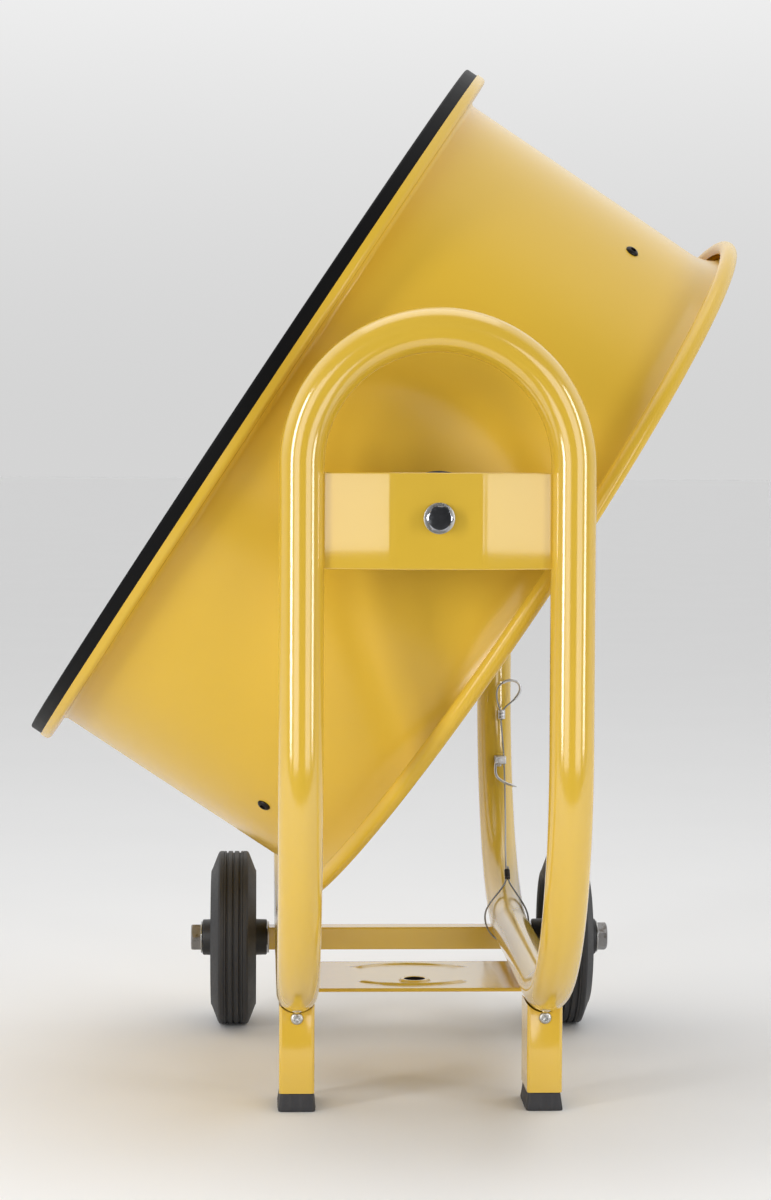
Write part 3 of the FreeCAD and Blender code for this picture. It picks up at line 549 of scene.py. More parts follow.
# pivot brackets: a bent flat bar with a proud flat middle
def bracket(s):
    out = []
    flat, yo, t = 31.6, 365.0, 3.0
    a, m, b = Vector((flat, yo)), Vector((57.0, 359.8)), Vector((86.0, 352.1))
    right = []
    for i in range(25):
        q = i / 24
        # quadratic through the three points
        w0, w1, w2 = (1 - q) * (1 - 2 * q), 4 * q * (1 - q), q * (2 * q - 1)
        right.append(a * w0 + m * w1 + b * w2)
    # small bend radius at the crease
    pts = [Vector((x, yo)) for x in (0, 8, 16, 24, 27, 29.8)] + [Vector((31.0, yo - 0.06)), Vector((32.6, yo - 0.33))] + right[1:]
    full = [Vector((-p.x, p.y)) for p in pts[:0:-1]] + pts
    bm = bmesh.new()
    rows = []
    zs = [426.9, 427.2, 427.8, 494.0, 494.6, 494.9]
    ins = [0.75, 0.28, 0.0, 0.0, 0.28, 0.75]
    n = len(full)
    nrm = []
    for i in range(n):
        d = (full[min(i + 1, n - 1)] - full[max(i - 1, 0)]).normalized()
        nrm.append(Vector((d.y, -d.x)))          # towards the drum
    for z, k in zip(zs, ins):
        row = []
        for i in range(n):
            p = full[i] + nrm[i] * k
            row.append(bm.verts.new((p.x * MM, s * p.y * MM, z * MM)))
        for i in range(n - 1, -1, -1):
            p = full[i] + nrm[i] * (t - k)
            row.append(bm.verts.new((p.x * MM, s * p.y * MM, z * MM)))
        rows.append(row)
    grid_faces(bm, rows, False, True)
    bm.faces.new(rows[0])
    bm.faces.new(rows[-1])
    return obj_from_bm("pivot_bracket_bar_" + ("near" if s < 0 else "far"), bm, M["yellow"], 30.0, STAND)

for nm, s in (("near", -1), ("far", 1)):
    on(bracket(s), "stand", "yellow_enamel", "pivot_bracket_" + nm)
    for sx in (-1, 1):
        weld("bracket_weld_%s_%s" % (nm, "left" if sx < 0 else "right"),
             seg_pts((sx * 80.6, s * 347.6, 429), (sx * 80.6, s * 347.6, 493)), 1.9, 3 + s + 5 * sx)

# axle bar welds, base plate welds, foot welds
for sx in (-1, 1):
    sd = "left" if sx < 0 else "right"
    for k, yy in enumerate((180.3, 201.7)):
        weld("axle_weld_%s_%d" % (sd, k), [Vector((sx * LEG_X + 16.3 * math.sin(q), yy, tube_z(yy) - 16.3 * math.cos(q))) for q in [math.radians(-54 + 108 * i / 30) for i in range(31)]], 1.5, 20 + k + 3 * sx)
    for k, (y0, y1) in enumerate(((-58, -40), (-9, 9), (40, 58))):
        weld("plate_weld_%s_%d" % (sd, k), seg_pts((sx * (LEG_X - 5.6), y0, 77.1), (sx * (LEG_X - 5.6), y1, 77.1), 24), 1.6, 31 + k + 7 * sx)
    for k, yy in enumerate((-170.2, -117.8)):
        weld("foot_weld_%s_%d" % (sd, k), [Vector((sx * LEG_X + x, yy, tube_z(yy) - 16.6 + abs(x) * 0.05)) for x in [(-2.4 + 4.8 * i / 12) for i in range(13)]], 1.2, 47 + k + 9 * sx)

# base plate: pressed sheet with two arc beads and a raised, pierced boss
HX, HY, HO = 2.0, -29.0, 8.6
def plate():
    bm = bmesh.new()
    R, zt, th = 66.0, 76.5, 2.9
    def height(x, y):
        h = 0.0
        for s in (-1, 1):
            yc = s * (48.0 - R)
            dx, dy = x, y - yc
            rr = math.hypot(dx, dy)
            a = math.degrees(math.atan2(dx, s * dy))
            e = max(0.0, abs(a) - 37.5) * math.radians(1) * R
            d = math.hypot(rr - R, e)
            if d < 4.4:
                h = max(h, 1.6 * (0.5 + 0.5 * math.cos(math.pi * d / 4.4)))
        r = math.hypot(x - HX, y - HY)
        if r < 13.4:
            q = min(1.0, max(0.0, (13.4 - r) / 2.3))
            h = max(h, 2.05 * (q * q * (3 - 2 * q)))
        return h
    def edge(x, y):
        d = min(104 - abs(x), 64 - abs(y))
        return -0.9 * max(0.0, 1 - d / 1.1) ** 2 if d < 1.1 else 0.0
    # polar patch round the hole, then rings that grow into the rectangle
    rings = [HO, HO + 0.3, HO + 0.8, 10.3, 11.0, 11.5, 12.0, 12.5, 13.0, 13.5, 14.2, 15.0]
    seg = 128
    rows = []
    for k, r in enumerate(rings):
        row = []
        for i in range(seg):
            a = 2 * math.pi * i / seg
            x, y = HX + r * math.cos(a), HY + r * math.sin(a)
            z = zt + height(x, y) - (0.4 if k == 0 else 0.1 if k == 1 else 0)
            row.append(bm.verts.new((x * MM, y * MM, z * MM)))
        rows.append(row)
    def square(hx, hy):
        row = []
        for i in range(seg):
            a = 2 * math.pi * i / seg
            c, s_ = math.cos(a), math.sin(a)
            m = max(abs(c), abs(s_))
            row.append((hx * c / m, hy * s_ / m))
        return row
    n = 64
    for k in range(1, n + 1):
        q = k / n
        base = square(15.0 + (104.0 - 15.0) * q, 15.0 + (64.0 - 15.0) * q)
        w = min(1.0, q * 5)
        row = []
        for i, (bx, by) in enumerate(base):
            a = 2 * math.pi * i / seg
            g = 15.0 * (1 + q)
            kx, ky = bx * w + g * math.cos(a) * (1 - w) + HX * (1 - q), by * w + g * math.sin(a) * (1 - w) + HY * (1 - q)
            row.append(bm.verts.new((kx * MM, ky * MM, (zt + height(kx, ky) + edge(kx, ky)) * MM)))
        rows.append(row)
    last = rows[-1]
    low = [bm.verts.new((v.co.x, v.co.y, (zt - th + 0.4) * MM)) for v in last]
    low2 = [bm.verts.new((v.co.x * 0.996, v.co.y * 0.993, (zt - th) * MM)) for v in last]
    und = [bm.verts.new((v.co.x, v.co.y, (zt - th) * MM)) for v in rows[2]]
    hin = [bm.verts.new((v.co.x, v.co.y, (zt - th + 0.5) * MM)) for v in rows[0]]
    grid_faces(bm, rows + [low, low2, und, hin, rows[0]], False, True)
    # the punched wall of the hole is painted black: painted shade so the hole reads dark
    wall = set(hin + rows[0])
    for f in bm.faces:
        if all(v in wall for v in f.verts):
            f.material_index = 1
    o = obj_from_bm("base_plate_pressing", bm, M["yellow"], 40.0, STAND)
    # second material: black painted shade on the hole's wall
    o.data.materials.append(M["black"])
    return o

on(plate(), "stand", "yellow_enamel", "base_plate")

def ring_outline(hx, hy, r, n=10):
    pts = []
    for cx, cy, a0 in ((hx - r, hy - r, 0), (-hx + r, hy - r, 90), (-hx + r, -hy + r, 180), (hx - r, -hy + r, 270)):
        for k in range(n + 1):
            a = math.radians(a0 + 90 * k / n)
            pts.append((cx + r * math.cos(a), cy + r * math.sin(a)))
        # more points along the side that follows
        nx, ny = {0: (-hx + r, hy), 90: (-hx, -hy + r), 180: (hx - r, -hy), 270: (hx, hy - r)}[a0]
        px, py = pts[-1]
        for k in range(1, 16):
            pts.append((px + (nx - px) * k / 16, py + (ny - py) * k / 16))
    return pts

def foot_post(x, nm):
    """rectangular tube, its top saddled to the frame tube with a hairline gap"""
    bm = bmesh.new()
    def top(px, py):
        return tube_z(-144.0 + py) - math.sqrt(max(0.0, 17.4 ** 2 - px * px))
    rows = []
    for g, rad, z in ((0.25, 2.4, 14.0), (0.0, 2.6, 14.4), (0.0, 2.6, 40.0), (0.0, 2.6, -0.5), (0.3, 2.4, 0.0)):
        row = []
        for px, py in ring_outline(13.7 - g, 26.0 - g, rad):
            row.append(bm.verts.new(((x + px) * MM, (-144.0 + py) * MM, (z if z > 1 else top(px, py) + z) * MM)))
        rows.append(row)
    for z in (0.0, 14.0):
        row = []
        for px, py in ring_outline(11.9, 24.2, 1.2):
            row.append(bm.verts.new(((x + px) * MM, (-144.0 + py) * MM, (z if z > 1 else top(px, py)) * MM)))
        rows.append(row)
    grid_faces(bm, rows, True, True)
    return obj_from_bm("foot_post_tube_" + nm, bm, M["yellow"], 40.0, STAND)

for nm, x in (("left", -LEG_X), ("right", LEG_X)):
    on(foot_post(x, nm), "stand", "yellow_enamel", "foot_post_" + nm)

# foot tips: fluted, flared rubber
def foot_tip(x, nm):
    bm = bmesh.new()
    def outline(hx, hy, rib, rad=3.2):
        pts = []
        n = 160
        for i in range(n):
            a = 2 * math.pi * i / n
            c, s_ = math.cos(a), math.sin(a)
            p = 16.0
            k = (abs(c) ** p + abs(s_) ** p) ** (-1 / p)
            px, py = hx * c * k, hy * s_ * k
            if abs(px) / hx > abs(py) / hy:      # long sides
                f = sum(math.exp(-((py - q) / 1.7) ** 2) for q in (-14, -4.7, 4.7, 14))
                px += math.copysign(rib * f, px)
            else:
                f = sum(math.exp(-((px - q) / 1.7) ** 2) for q in (-4.4, 4.4))
                py += math.copysign(rib * f, py)
            pts.append((px, py))
        return pts
    rows = []
    for z, g, rib in ((0.0, -0.9, 0.0), (0.3, -0.2, 0.2), (0.9, 0.0, 0.4), (4.0, -0.5, 0.5), (8.0, -1.05, 0.5), (12.6, -1.65, 0.4), (13.5, -1.8, 0.15), (13.9, -2.2, 0.0)):
        rows.append([bm.verts.new(((x + px) * MM, (-144.0 + py) * MM, z * MM)) for px, py in outline(14.5 + g, 27.5 + g, rib)])
    grid_faces(bm, rows, False, True)
    bm.faces.new(rows[0][::-1])
    bm.faces.new(rows[-1])
    return obj_from_bm("foot_tip_rubber_" + nm, bm, M["foot"], 50.0, STAND)

for nm, x in (("left", -LEG_X), ("right", LEG_X)):
    on(foot_tip(x, nm), "stand", "foot_rubber", "foot_tip_" + nm)

def pan_screw(name, p, d, r, h, mat, mw, spin=45.0, recess=0.5):
    """domed head with a cross recess"""
    bm = bmesh.new()
    seg, nr = 48, 12
    top = []
    for k in range(nr + 1):
        q = k / nr
        rr = r * q
        row = []
        for i in range(seg):
            a = 2 * math.pi * i / seg
            y, z = rr * math.cos(a), rr * math.sin(a)
            hh = h * (1 - 0.55 * q ** 2.6) if q < 1 else h * 0.25
            arm = min(abs(y), abs(z))
            lng = max(abs(y), abs(z))
            if arm < r * 0.17 and lng < r * 0.62:
                hh -= h * recess * (1 - lng / (r * 0.8))
            row.append(bm.verts.new((hh * MM, y * MM, z * MM)))
        top.append(row)
    base = [bm.verts.new((0, r * math.cos(2 * math.pi * i / seg) * MM, r * math.sin(2 * math.pi * i / seg) * MM)) for i in range(seg)]
    grid_faces(bm, top + [base], False, True)
    bmesh.ops.remove_doubles(bm, verts=bm.verts, dist=1e-7)
    bm.faces.new([v for v in base if v.is_valid][::-1])
    return obj_from_bm(name, bm, mat, 40.0, mw @ frame_at(p, d, spin))

FS_Z = 72.6
o = join("foot_screw_heads", [pan_screw("fs%d" % i, (x, -170.0, FS_Z), (0, -1, 0), 4.75, 2.3, M["zinc"], STAND) for i, x in enumerate((-LEG_X, LEG_X))])
on(o, "stand", "zinc_steel", "foot_screws")

# ================================================================== wheels
def tyre_profile():
    w, R = 20.0, 76.55
    p = [(-w + 5.6, 50.9), (-w + 1.2, 53.2), (-w, 55.4), (-w, 59.0), (-w + 0.9, 60.6), (-14.2, 73.2), (-13.0, 75.7), (-11.6, R)]
    pts = round_profile(p, [0, 0.8, 1.0, 0.8, 0.8, 0, 0, 0], 4, closed=False)
    tread = []
    for c in (-5.6, 0.0, 5.6):
        tread += [(c - 1.15, R), (c - 0.8, R - 0.5), (c - 0.55, R - 1.5), (c + 0.55, R - 1.5), (c + 0.8, R - 0.5), (c + 1.15, R)]
    tread = [(-8.6, R), (-8.3, R - 0.5), (-8.0, R)] + tread + [(8.0, R), (8.3, R - 0.5), (8.6, R)]
    right = [(-u, r) for u, r in pts[::-1]]
    return pts + tread + right

def wheel(nm, s):
    mw = STAND @ Matrix.Translation(Vector((s * WHEEL_X, AXLE_Y, AXLE_Z)) * MM)
    if s < 0:
        mw = mw @ Matrix.Rotation(math.pi, 4, "Z")
    t = lathe("tyre_ring_" + nm, tyre_profile(), M["tyre"], mw, 192, True, 28.0)
    on(t, "wheel_" + nm, "tyre_rubber", "tyre_" + nm)
    h0, h1 = 118.3 - WHEEL_X, 175.7 - WHEEL_X
    prof = [(h0, 7.1), (h1, 7.1), (h1, 14.4), (h1 - 0.4, 15.4), (h1 - 1.2, 15.75), (12.0, 16.2), (8.6, 17.6), (6.8, 20.5), (5.6, 26), (5.4, 40), (6.4, 44.5), (13.4, 46.6),
            (14.2, 47.4), (14.3, 51.0), (-14.3, 51.0), (-14.2, 47.4), (-13.4, 46.6), (-6.4, 44.5), (-5.4, 40), (-5.6, 26), (-6.8, 20.5), (-8.6, 17.6), (-12.0, 16.2),
            (h0 + 1.2, 15.75), (h0 + 0.4, 15.4), (h0, 14.4)]
    c = lathe("core", prof, M["plastic"], Matrix.Identity(4), 144, True, 30.0)
    ribs = []
    for i in range(6):
        for sg in (-1, 1):
            bm = bmesh.new()
            a = (5.0, 12.6) if sg > 0 else (-12.6, -5.0)
            box_into(bm, a[0], -1.7, 15.0, a[1], 1.7, 47.4)
            r = beveled("rib", bm, M["plastic"], Matrix.Rotation(math.radians(60 * i + 15), 4, "X"), 0.6, 2)
            ribs.append(r)
    bpy.context.view_layer.update()
    o = join("wheel_core_moulding_" + nm, [c] + ribs)
    o.data.transform(mw)
    o.data.set_sharp_from_angle(angle=math.radians(30))
    on(o, "wheel_" + nm, "black_plastic", "wheel_core_" + nm)

for nm, s in (("left", -1), ("right", 1)):
    wheel(nm, s)

heads = []
for nm, s in (("left", -1), ("right", 1)):
    heads.append(hex_head("wb", (s * 177.2, AXLE_Y, AXLE_Z), (s, 0, 0), 22.0, 8.5, M["dull_zinc"], STAND, 8.0, 0.0))
    sh = [(s * 109.0, 0), (s * 109.0, 6.4), (s * 110.0, 6.98), (s * 177.4, 6.98), (s * 177.4, 0)]
    heads.append(lathe("sh", sh, M["dull_zinc"], STAND @ Matrix.Translation(Vector((0, AXLE_Y, AXLE_Z)) * MM), 48, False))
bpy.context.view_layer.update()
on(join("wheel_bolt_set", heads), "stand", "dull_zinc", "wheel_bolts")
w = []
for s in (-1, 1):
    for a, t in ((116.5, 1.5), (176.0, 1.2)):
        pr = round_profile([(a, 7.0), (a, 14.0), (a + t, 14.0), (a + t, 7.0)], 0.35, 3)
        if s < 0:
            pr = [(-u, r) for u, r in pr]
        w.append(lathe("w", pr, M["zinc"], STAND @ Matrix.Translation(Vector((0, AXLE_Y, AXLE_Z)) * MM), 72))
bpy.context.view_layer.update()
on(join("wheel_washer_set", w), "stand", "zinc_steel", "wheel_washers")

# ================================================================== the drum
WALL_R, SHEET, U_BACK, BEAD_R, BEAD_C = 298.6, 1.6, 99.2, 5.8, (93.4, 317.2)
FL_U0, FL_U1, FL_R = -151.6, -143.5, 321.5
BAND_U0, BAND_R, BT = -161.9, 320.4, 1.5
BARS_Y, BARS_U, FAN_U, MR = 154.0, 23.2, -62.0, 74.0
SCREW_V = 258.0

def shell_path():
    wr = WALL_R - SHEET / 2
    th, r1 = math.radians(35.0), 37.0
    r2 = (BEAD_C[1] - wr - r1 * (1 - math.cos(th))) / math.cos(th)
    u_fl = U_BACK - r1 * math.sin(th) - r2 * (1 - math.sin(th))
    lip, flu = FL_R - SHEET / 2, FL_U1 - SHEET / 2
    return (FL_U0, lip), [("L", flu - 3.0 - FL_U0), ("A", 3.0, -90), ("L", lip - 3.0 - (wr + 4.8)), ("A", 4.8, 90),
                          ("L", u_fl - (flu + 4.8)), ("A", r1, 35.0), ("A", r2, 55.0), ("A", BEAD_R, 250)]

def waver(u, r, a):
    """the rolled sheet is a touch out of true"""
    k = 0.11 * math.sin(2 * a + 0.4) + 0.07 * math.sin(3 * a + u * 0.012 + 1.1) + 0.04 * math.sin(7 * a + u * 0.03)
    return u, r + (k if -130 < u < 60 else k * 0.4)

st, pth = shell_path()
o = lathe("drum_shell_rolled", sheet_profile(st, 0.0, pth, SHEET, 5.0), M["yellow_shell"], DRUM, 320, True, 40.0, waver)
on(o, "drum", "yellow_enamel", "drum_shell")

bl = (FL_U0 - BAND_U0) - BT / 2 - 1.2
bp = [("L", bl), ("A", 1.2, 90), ("L", 15.0), ("A", 1.2, 90), ("L", bl)]
o = lathe("front_band_channel", sheet_profile((FL_U0, BAND_R - BT / 2), 180.0, bp, BT, 12.0), M["black"], DRUM, 320, True, 40.0,
          lambda u, r, a: (u + 0.05 * math.sin(3 * a + 0.7), r + 0.06 * math.sin(2 * a + 2)))
on(o, "drum", "black_enamel", "front_band")

# wire guards
def circle(u, R, r, n=12):
    return [(u + r * math.cos(2 * math.pi * k / n), R + r * math.sin(2 * math.pi * k / n)) for k in range(n)]

def radial(a):
    return Vector((0, -math.sin(a), math.cos(a)))

def blob_into(bm, p, r, squash_u=0.8):
    v = bmesh.ops.create_icosphere(bm, subdivisions=1, radius=1.0)["verts"]
    for q in v:
        q.co = Vector((q.co.x * r * squash_u, q.co.y * r, q.co.z * r)) * MM + Vector(p) * MM

def guard(side, u, out, extra, nm_r, nm_s, spoke_end):
    R = [52 + 12.0 * k for k in range(21)]
    bm = bmesh.new()
    for k, rr in enumerate(R):
        lathe_into(bm, circle(u, rr, 1.5, 10), max(72, int(rr * 0.75)), True)
    if extra:
        lathe_into(bm, circle(extra[0], extra[1], extra[2], 14), 240, True)
    o = obj_from_bm(side + "_guard_wire_rings", bm, M["black_wire"], 60.0, DRUM)
    on(o, "drum", "black_enamel", nm_r)
    bm = bmesh.new()
    us = u + out * 3.7
    for i in range(12):
        a = math.radians(15 + 30 * i)
        d = radial(a)
        pts = [Vector((us, 0, 0)) + d * (30 + (spoke_end - 30) * k / 20) for k in range(21)]
        sweep_into(bm, pts, 2.2, sides=14)
        for rr in R:
            for sg in (-1, 1):
                t = Vector((0, math.cos(a), math.sin(a))) * sg * 1.5
                blob_into(bm, Vector((u + out * 1.25, 0, 0)) + d * rr + t, 1.15)
    o = obj_from_bm(side + "_guard_wire_spokes", bm, M["black_wire"], 60.0, DRUM)
    on(o, "drum", "black_enamel", nm_s)

guard("front", -157.2, 1, None, "front_guard_rings", "front_guard_spokes", 301.4)
guard("rear", 91.5, -1, (87.8, 298.0, 2.2), "rear_guard_rings", "rear_guard_spokes", 296.4)

def disc_profile(f):
    """f maps (depth behind the face, r) to (u, r); shallow steps pressed in the face"""
    pts = [(0.3, 0), (0.3, 9), (0.0, 10.5), (0.0, 26), (0.45, 27.2), (0.45, 30.5), (0.1, 31.5), (0.7, 37), (2.0, 41.6), (4.2, 45.2), (5.2, 46), (5.9, 45.6),
           (5.7, 44.4), (3.6, 41.0), (2.1, 30), (2.2, 0)]
    return [f(d, r) for d, r in pts]
for side, f in (("front", lambda d, r: (-161.3 + d, r)), ("rear", lambda d, r: (95.3 - d, r))):
    o = lathe(side + "_guard_cap", disc_profile(f), M["plastic"], DRUM, 160, False, 35.0)
    on(o, "drum", "black_plastic", side + "_guard_disc")

# motor bars: bent channels, ends trimmed to the wall
def motor_bar(s, nm):
    U0, U1, hw, t = BARS_U - 15, BARS_U + 15, 12.0, 2.5
    sec = [(U1, -hw), (U0, -hw), (U0, hw), (U1, hw), (U1, hw - t), (U0 + t, hw - t), (U0 + t, -hw + t), (U1, -hw + t)]
    sec = round_profile(sec, [0.5, 3.0, 3.0, 0.5, 0.5, 1.0, 1.0, 0.5], 4)
    bm = bmesh.new()
    rows = []
    n = 40
    for k in range(n + 1):
        row = []
        for u, w in sec:
            y = s * BARS_Y + w
            zl = math.sqrt(296.9 ** 2 - y * y)
            row.append(bm.verts.new((u * MM, y * MM, zl * (-1 + 2 * k / n) * MM)))
        rows.append(row)
    grid_faces(bm, rows, False, True)
    bm.faces.new(rows[0][::-1])
    bm.faces.new(rows[-1])
    # ears bent against the wall
    for v in (-1, 1):
        a0 = math.atan2(v * SCREW_V, s * BARS_Y)
        er = []
        for i in range(13):
            a = a0 + (-13 + 26 * i / 12) / 294.0
            c, q = math.cos(a), math.sin(a)
            row = []
            for uu, rr in ((BARS_U - 14, 291.2), (BARS_U - 14, 296.9), (BARS_U + 14, 296.9), (BARS_U + 14, 291.2)):
                row.append(bm.verts.new((uu * MM, rr * c * MM, rr * q * MM)))
            er.append(row)
        grid_faces(bm, er, False, True)
        bm.faces.new(er[0][::-1])
        bm.faces.new(er[-1])
    return on(obj_from_bm("motor_bar_channel_" + nm, bm, M["black"], 35.0, DRUM), "drum", "black_enamel", "motor_bar_" + nm)

for nm, s in (("near", -1), ("far", 1)):
    motor_bar(s, nm)

def button_screw(name, p, d, r, h, sock, mat, mw):
    pr = [(-0.3, 0.2), (-0.3, r), (h * 0.3, r), (h * 0.62, r * 0.9), (h * 0.86, r * 0.72), (h, r * 0.52), (h, sock + 0.25), (h - 0.2, sock), (h * 0.25, sock * 0.96), (h * 0.12, 0.2)]
    def six(u, rr, a):
        if rr <= sock + 0.3 and rr > 0.5:
            k = ((math.degrees(a) + 30) % 60) - 30
            rr = rr * 0.93 / math.cos(math.radians(k))
        return u, rr
    return lathe(name, round_profile(pr, 0.15, 2, False), mat, mw @ frame_at(p, d, 20), 72, False, 28.0, six)

scr = []
for v in (-1, 1):
    for y in (-1, 1):
        a = math.atan2(v * SCREW_V, y * BARS_Y)
        d = Vector((0, math.cos(a), math.sin(a)))
        scr.append(button_screw("ds", Vector((BARS_U, 0, 0)) + d * WALL_R, d, 5.2, 2.4, 2.4, M["dark_screw"], DRUM))
        scr.append(lathe("dk", [(0.0, 0.1), (0.0, 2.5), (-14.6, 2.5), (-15.4, 1.9), (-15.4, 0.1)], M["dark_screw"], DRUM @ frame_at(Vector((BARS_U, 0, 0)) + d * WALL_R, d), 24, True))
bpy.context.view_layer.update()
on(join("drum_screw_set", scr), "drum", "dull_zinc", "drum_screws")

# motor: drawn housing with end caps, cooling ribs on the caps
hp = round_profile([(2.0, 71.0), (2.0, MR - 0.6), (66.0, MR - 0.6), (66.0, 71.0)], 0.5, 3)
hs = lathe("h", hp, M["motor"], DRUM, 160)
bands = [lathe("b", round_profile([(u0, MR - 0.9), (u0, MR), (u0 + 5, MR), (u0 + 5, MR - 0.9)], 0.3, 3), M["motor"], DRUM, 160) for u0 in (4.0, 59.0)]
bpy.context.view_layer.update()
on(join("motor_housing_shell", [hs] + bands), "drum", "motor_enamel", "motor_housing")
for nm, sg, base in (("front", -1, 2.0), ("rear", 1, 66.0)):
    cp = [(0, MR), (0, 30), (-3, 24), (-3, 15.0), (12, 15.0), (12, 9.5), (14.5, 9.5), (14.5, 18.5), (12.5, 22), (10.4, 38), (9.2, 52), (6.3, 67.5), (4.8, 71.6), (2.8, MR)]
    cap = lathe("c", round_profile([(base + sg * u, r) for u, r in cp], 1.0, 3), M["castalu"], DRUM, 144)
    ribs = []
    for i in range(16):
        bm = bmesh.new()
        pts = [(11.2, 21), (8.6, 40), (7.6, 52), (4.6, 66.5)]
        tops = [(13.6, 21.5), (11.8, 40), (10.4, 53), (6.3, 67.5)]
        rows = []
        for (ua, ra), (ub, rb) in zip(pts, tops):
            rows.append([bm.verts.new(((base + sg * ua) * MM, y * MM, ra * MM)) for y in (-1.4, 1.4)] + [bm.verts.new(((base + sg * ub) * MM, y * MM, rb * MM)) for y in (0.9, -0.9)])
        grid_faces(bm, rows, False, True)
        bm.faces.new(rows[0][::-1])
        bm.faces.new(rows[-1])
        bmesh.ops.transform(bm, matrix=Matrix.Rotation(math.radians(22.5 * i), 4, "X"), verts=bm.verts)
        ribs.append(obj_from_bm("r", bm, M["castalu"], 30.0, DRUM))
    heads = [hex_head("x", (base + sg * 4.6, 66.0 * math.cos(math.radians(45 + 90 * i)), 66.0 * math.sin(math.radians(45 + 90 * i))), (sg, 0, 0), 8.0, 3.0, M["castalu"], DRUM, 10, 0.0, (5.6, 0.9)) for i in range(4)]
    bpy.context.view_layer.update()
    on(join("motor_end_cap_" + nm, [cap] + ribs + heads), "drum", "cast_aluminium", "motor_cap_" + nm)

# straps that clamp the motor between the bars
def strap(v):
    bm = bmesh.new()
    n = 60
    rows = []
    yy = [(-142 + 284 * i / n) for i in range(n + 1)]
    for y in yy:
        lo = MR + 0.0 if abs(y) > 32 else max(math.sqrt(MR * MR - y * y), 62)
        hi = MR + 3.5
        w = 18.0 if abs(y) < 132 else 18.0 - (abs(y) - 132) * 0.25
        rows.append([bm.verts.new(((BARS_U + a) * MM, y * MM, v * b * MM)) for a, b in ((-w, lo), (w, lo), (w, hi), (-w, hi))])
    grid_faces(bm, rows, False, True)
    bm.faces.new(rows[0][::-1])
    bm.faces.new(rows[-1])
    return beveled("st", bm, M["black"], DRUM, 0.7, 2)
parts = [strap(1), strap(-1)]
for v in (1, -1):
    for y in (-130, -46, 46, 130):
        parts.append(hex_head("x", (BARS_U, y, v * (MR + 3.5)), (0, 0, v), 10.0, 4.0, M["black"], DRUM, 25, 0.0, (7.5, 1.2)))
bpy.context.view_layer.update()
on(join("motor_strap_pair", parts), "drum", "black_enamel", "motor_straps")

# capacitor with its foot and two wires to the housing
cc = (BARS_U - 24, 84.0, MR + 3.5 + 15.5)
cp = round_profile([(0, 0), (0, 14.0), (52, 14.0), (53, 13.4), (58, 13.4), (58, 0)], [0, 2.0, 0.6, 0.4, 1.6, 0], 4, False)
c1 = lathe("c", [(u, r) for u, r in cp], M["plastic"], DRUM @ Matrix.Translation(Vector(cc) * MM), 72, False)
bm = bmesh.new()
box_into(bm, BARS_U - 10, 74, MR + 3.5, BARS_U + 10, 94, MR + 3.5 + 9)
c2 = beveled("f", bm, M["plastic"], DRUM, 1.2, 3)
bpy.context.view_layer.update()
on(join("run_capacitor", [c1, c2]), "drum", "black_plastic", "motor_capacitor")
for k, dy in enumerate((-4, 4)):
    p = [Vector((57, 84 + dy, MR + 19 + 3 * k)), Vector((66, 84 + dy, MR + 19 + 3 * k)), Vector((76, 76 + dy, MR + 12)), Vector((80, 64 + dy, MR + 4)), Vector((74, 50 + dy, 62)), Vector((70.0, 42 + dy, 52))]
    pts = []
    for i in range(len(p) - 1):
        a, b = p[max(i - 1, 0)], p[min(i + 2, len(p) - 1)]
        for q in range(8):
            t = q / 8
            h00, h10, h01, h11 = 2*t**3-3*t**2+1, t**3-2*t**2+t, -2*t**3+3*t**2, t**3-t**2
            pts.append(p[i] * h00 + (p[i + 1] - a) * 0.5 * h10 + p[i + 1] * h01 + (b - p[i]) * 0.5 * h11)
    pts.append(p[-1])
    on(sweep("motor_lead_%d" % (k + 1), pts, 1.5, M["plastic"], DRUM, sides=14), "drum", "black_plastic")

# standoffs that hold the rear guard
so = []
for y in (-1, 1):
    for v in (-1, 1):
        pr = round_profile([(10.75, 0), (10.75, 4.0), (85.6, 4.0), (85.6, 0)], 0.6, 3, False)
        so.append(lathe("s", pr, M["black"], DRUM @ Matrix.Translation(Vector((0, y * BARS_Y, v * 150)) * MM), 40, False))
        so.append(hex_head("n", (10.8, y * BARS_Y, v * 150), (1, 0, 0), 13.0, 6.0, M["black"], DRUM, 12, 0.0, (8.5, 1.2)))
bpy.context.view_layer.update()
on(join("rear_guard_standoffs", so), "drum", "black_enamel", "bar_standoffs")

# ------------------------------------------------------------------ fan
SECS = ((58, 92, 36, 9), (100, 132, 33, 12), (160, 176, 29.5, 14), (220, 206, 26.5, 14), (270, 212, 24, 13), (300, 200, 22.5, 12))
def lerp_sec(r):
    for a, b in zip(SECS, SECS[1:]):
        if a[0] <= r <= b[0]:
            q = (r - a[0]) / (b[0] - a[0])
            return [a[i] + (b[i] - a[i]) * q for i in (1, 2, 3)]
    return SECS[-1][1:]

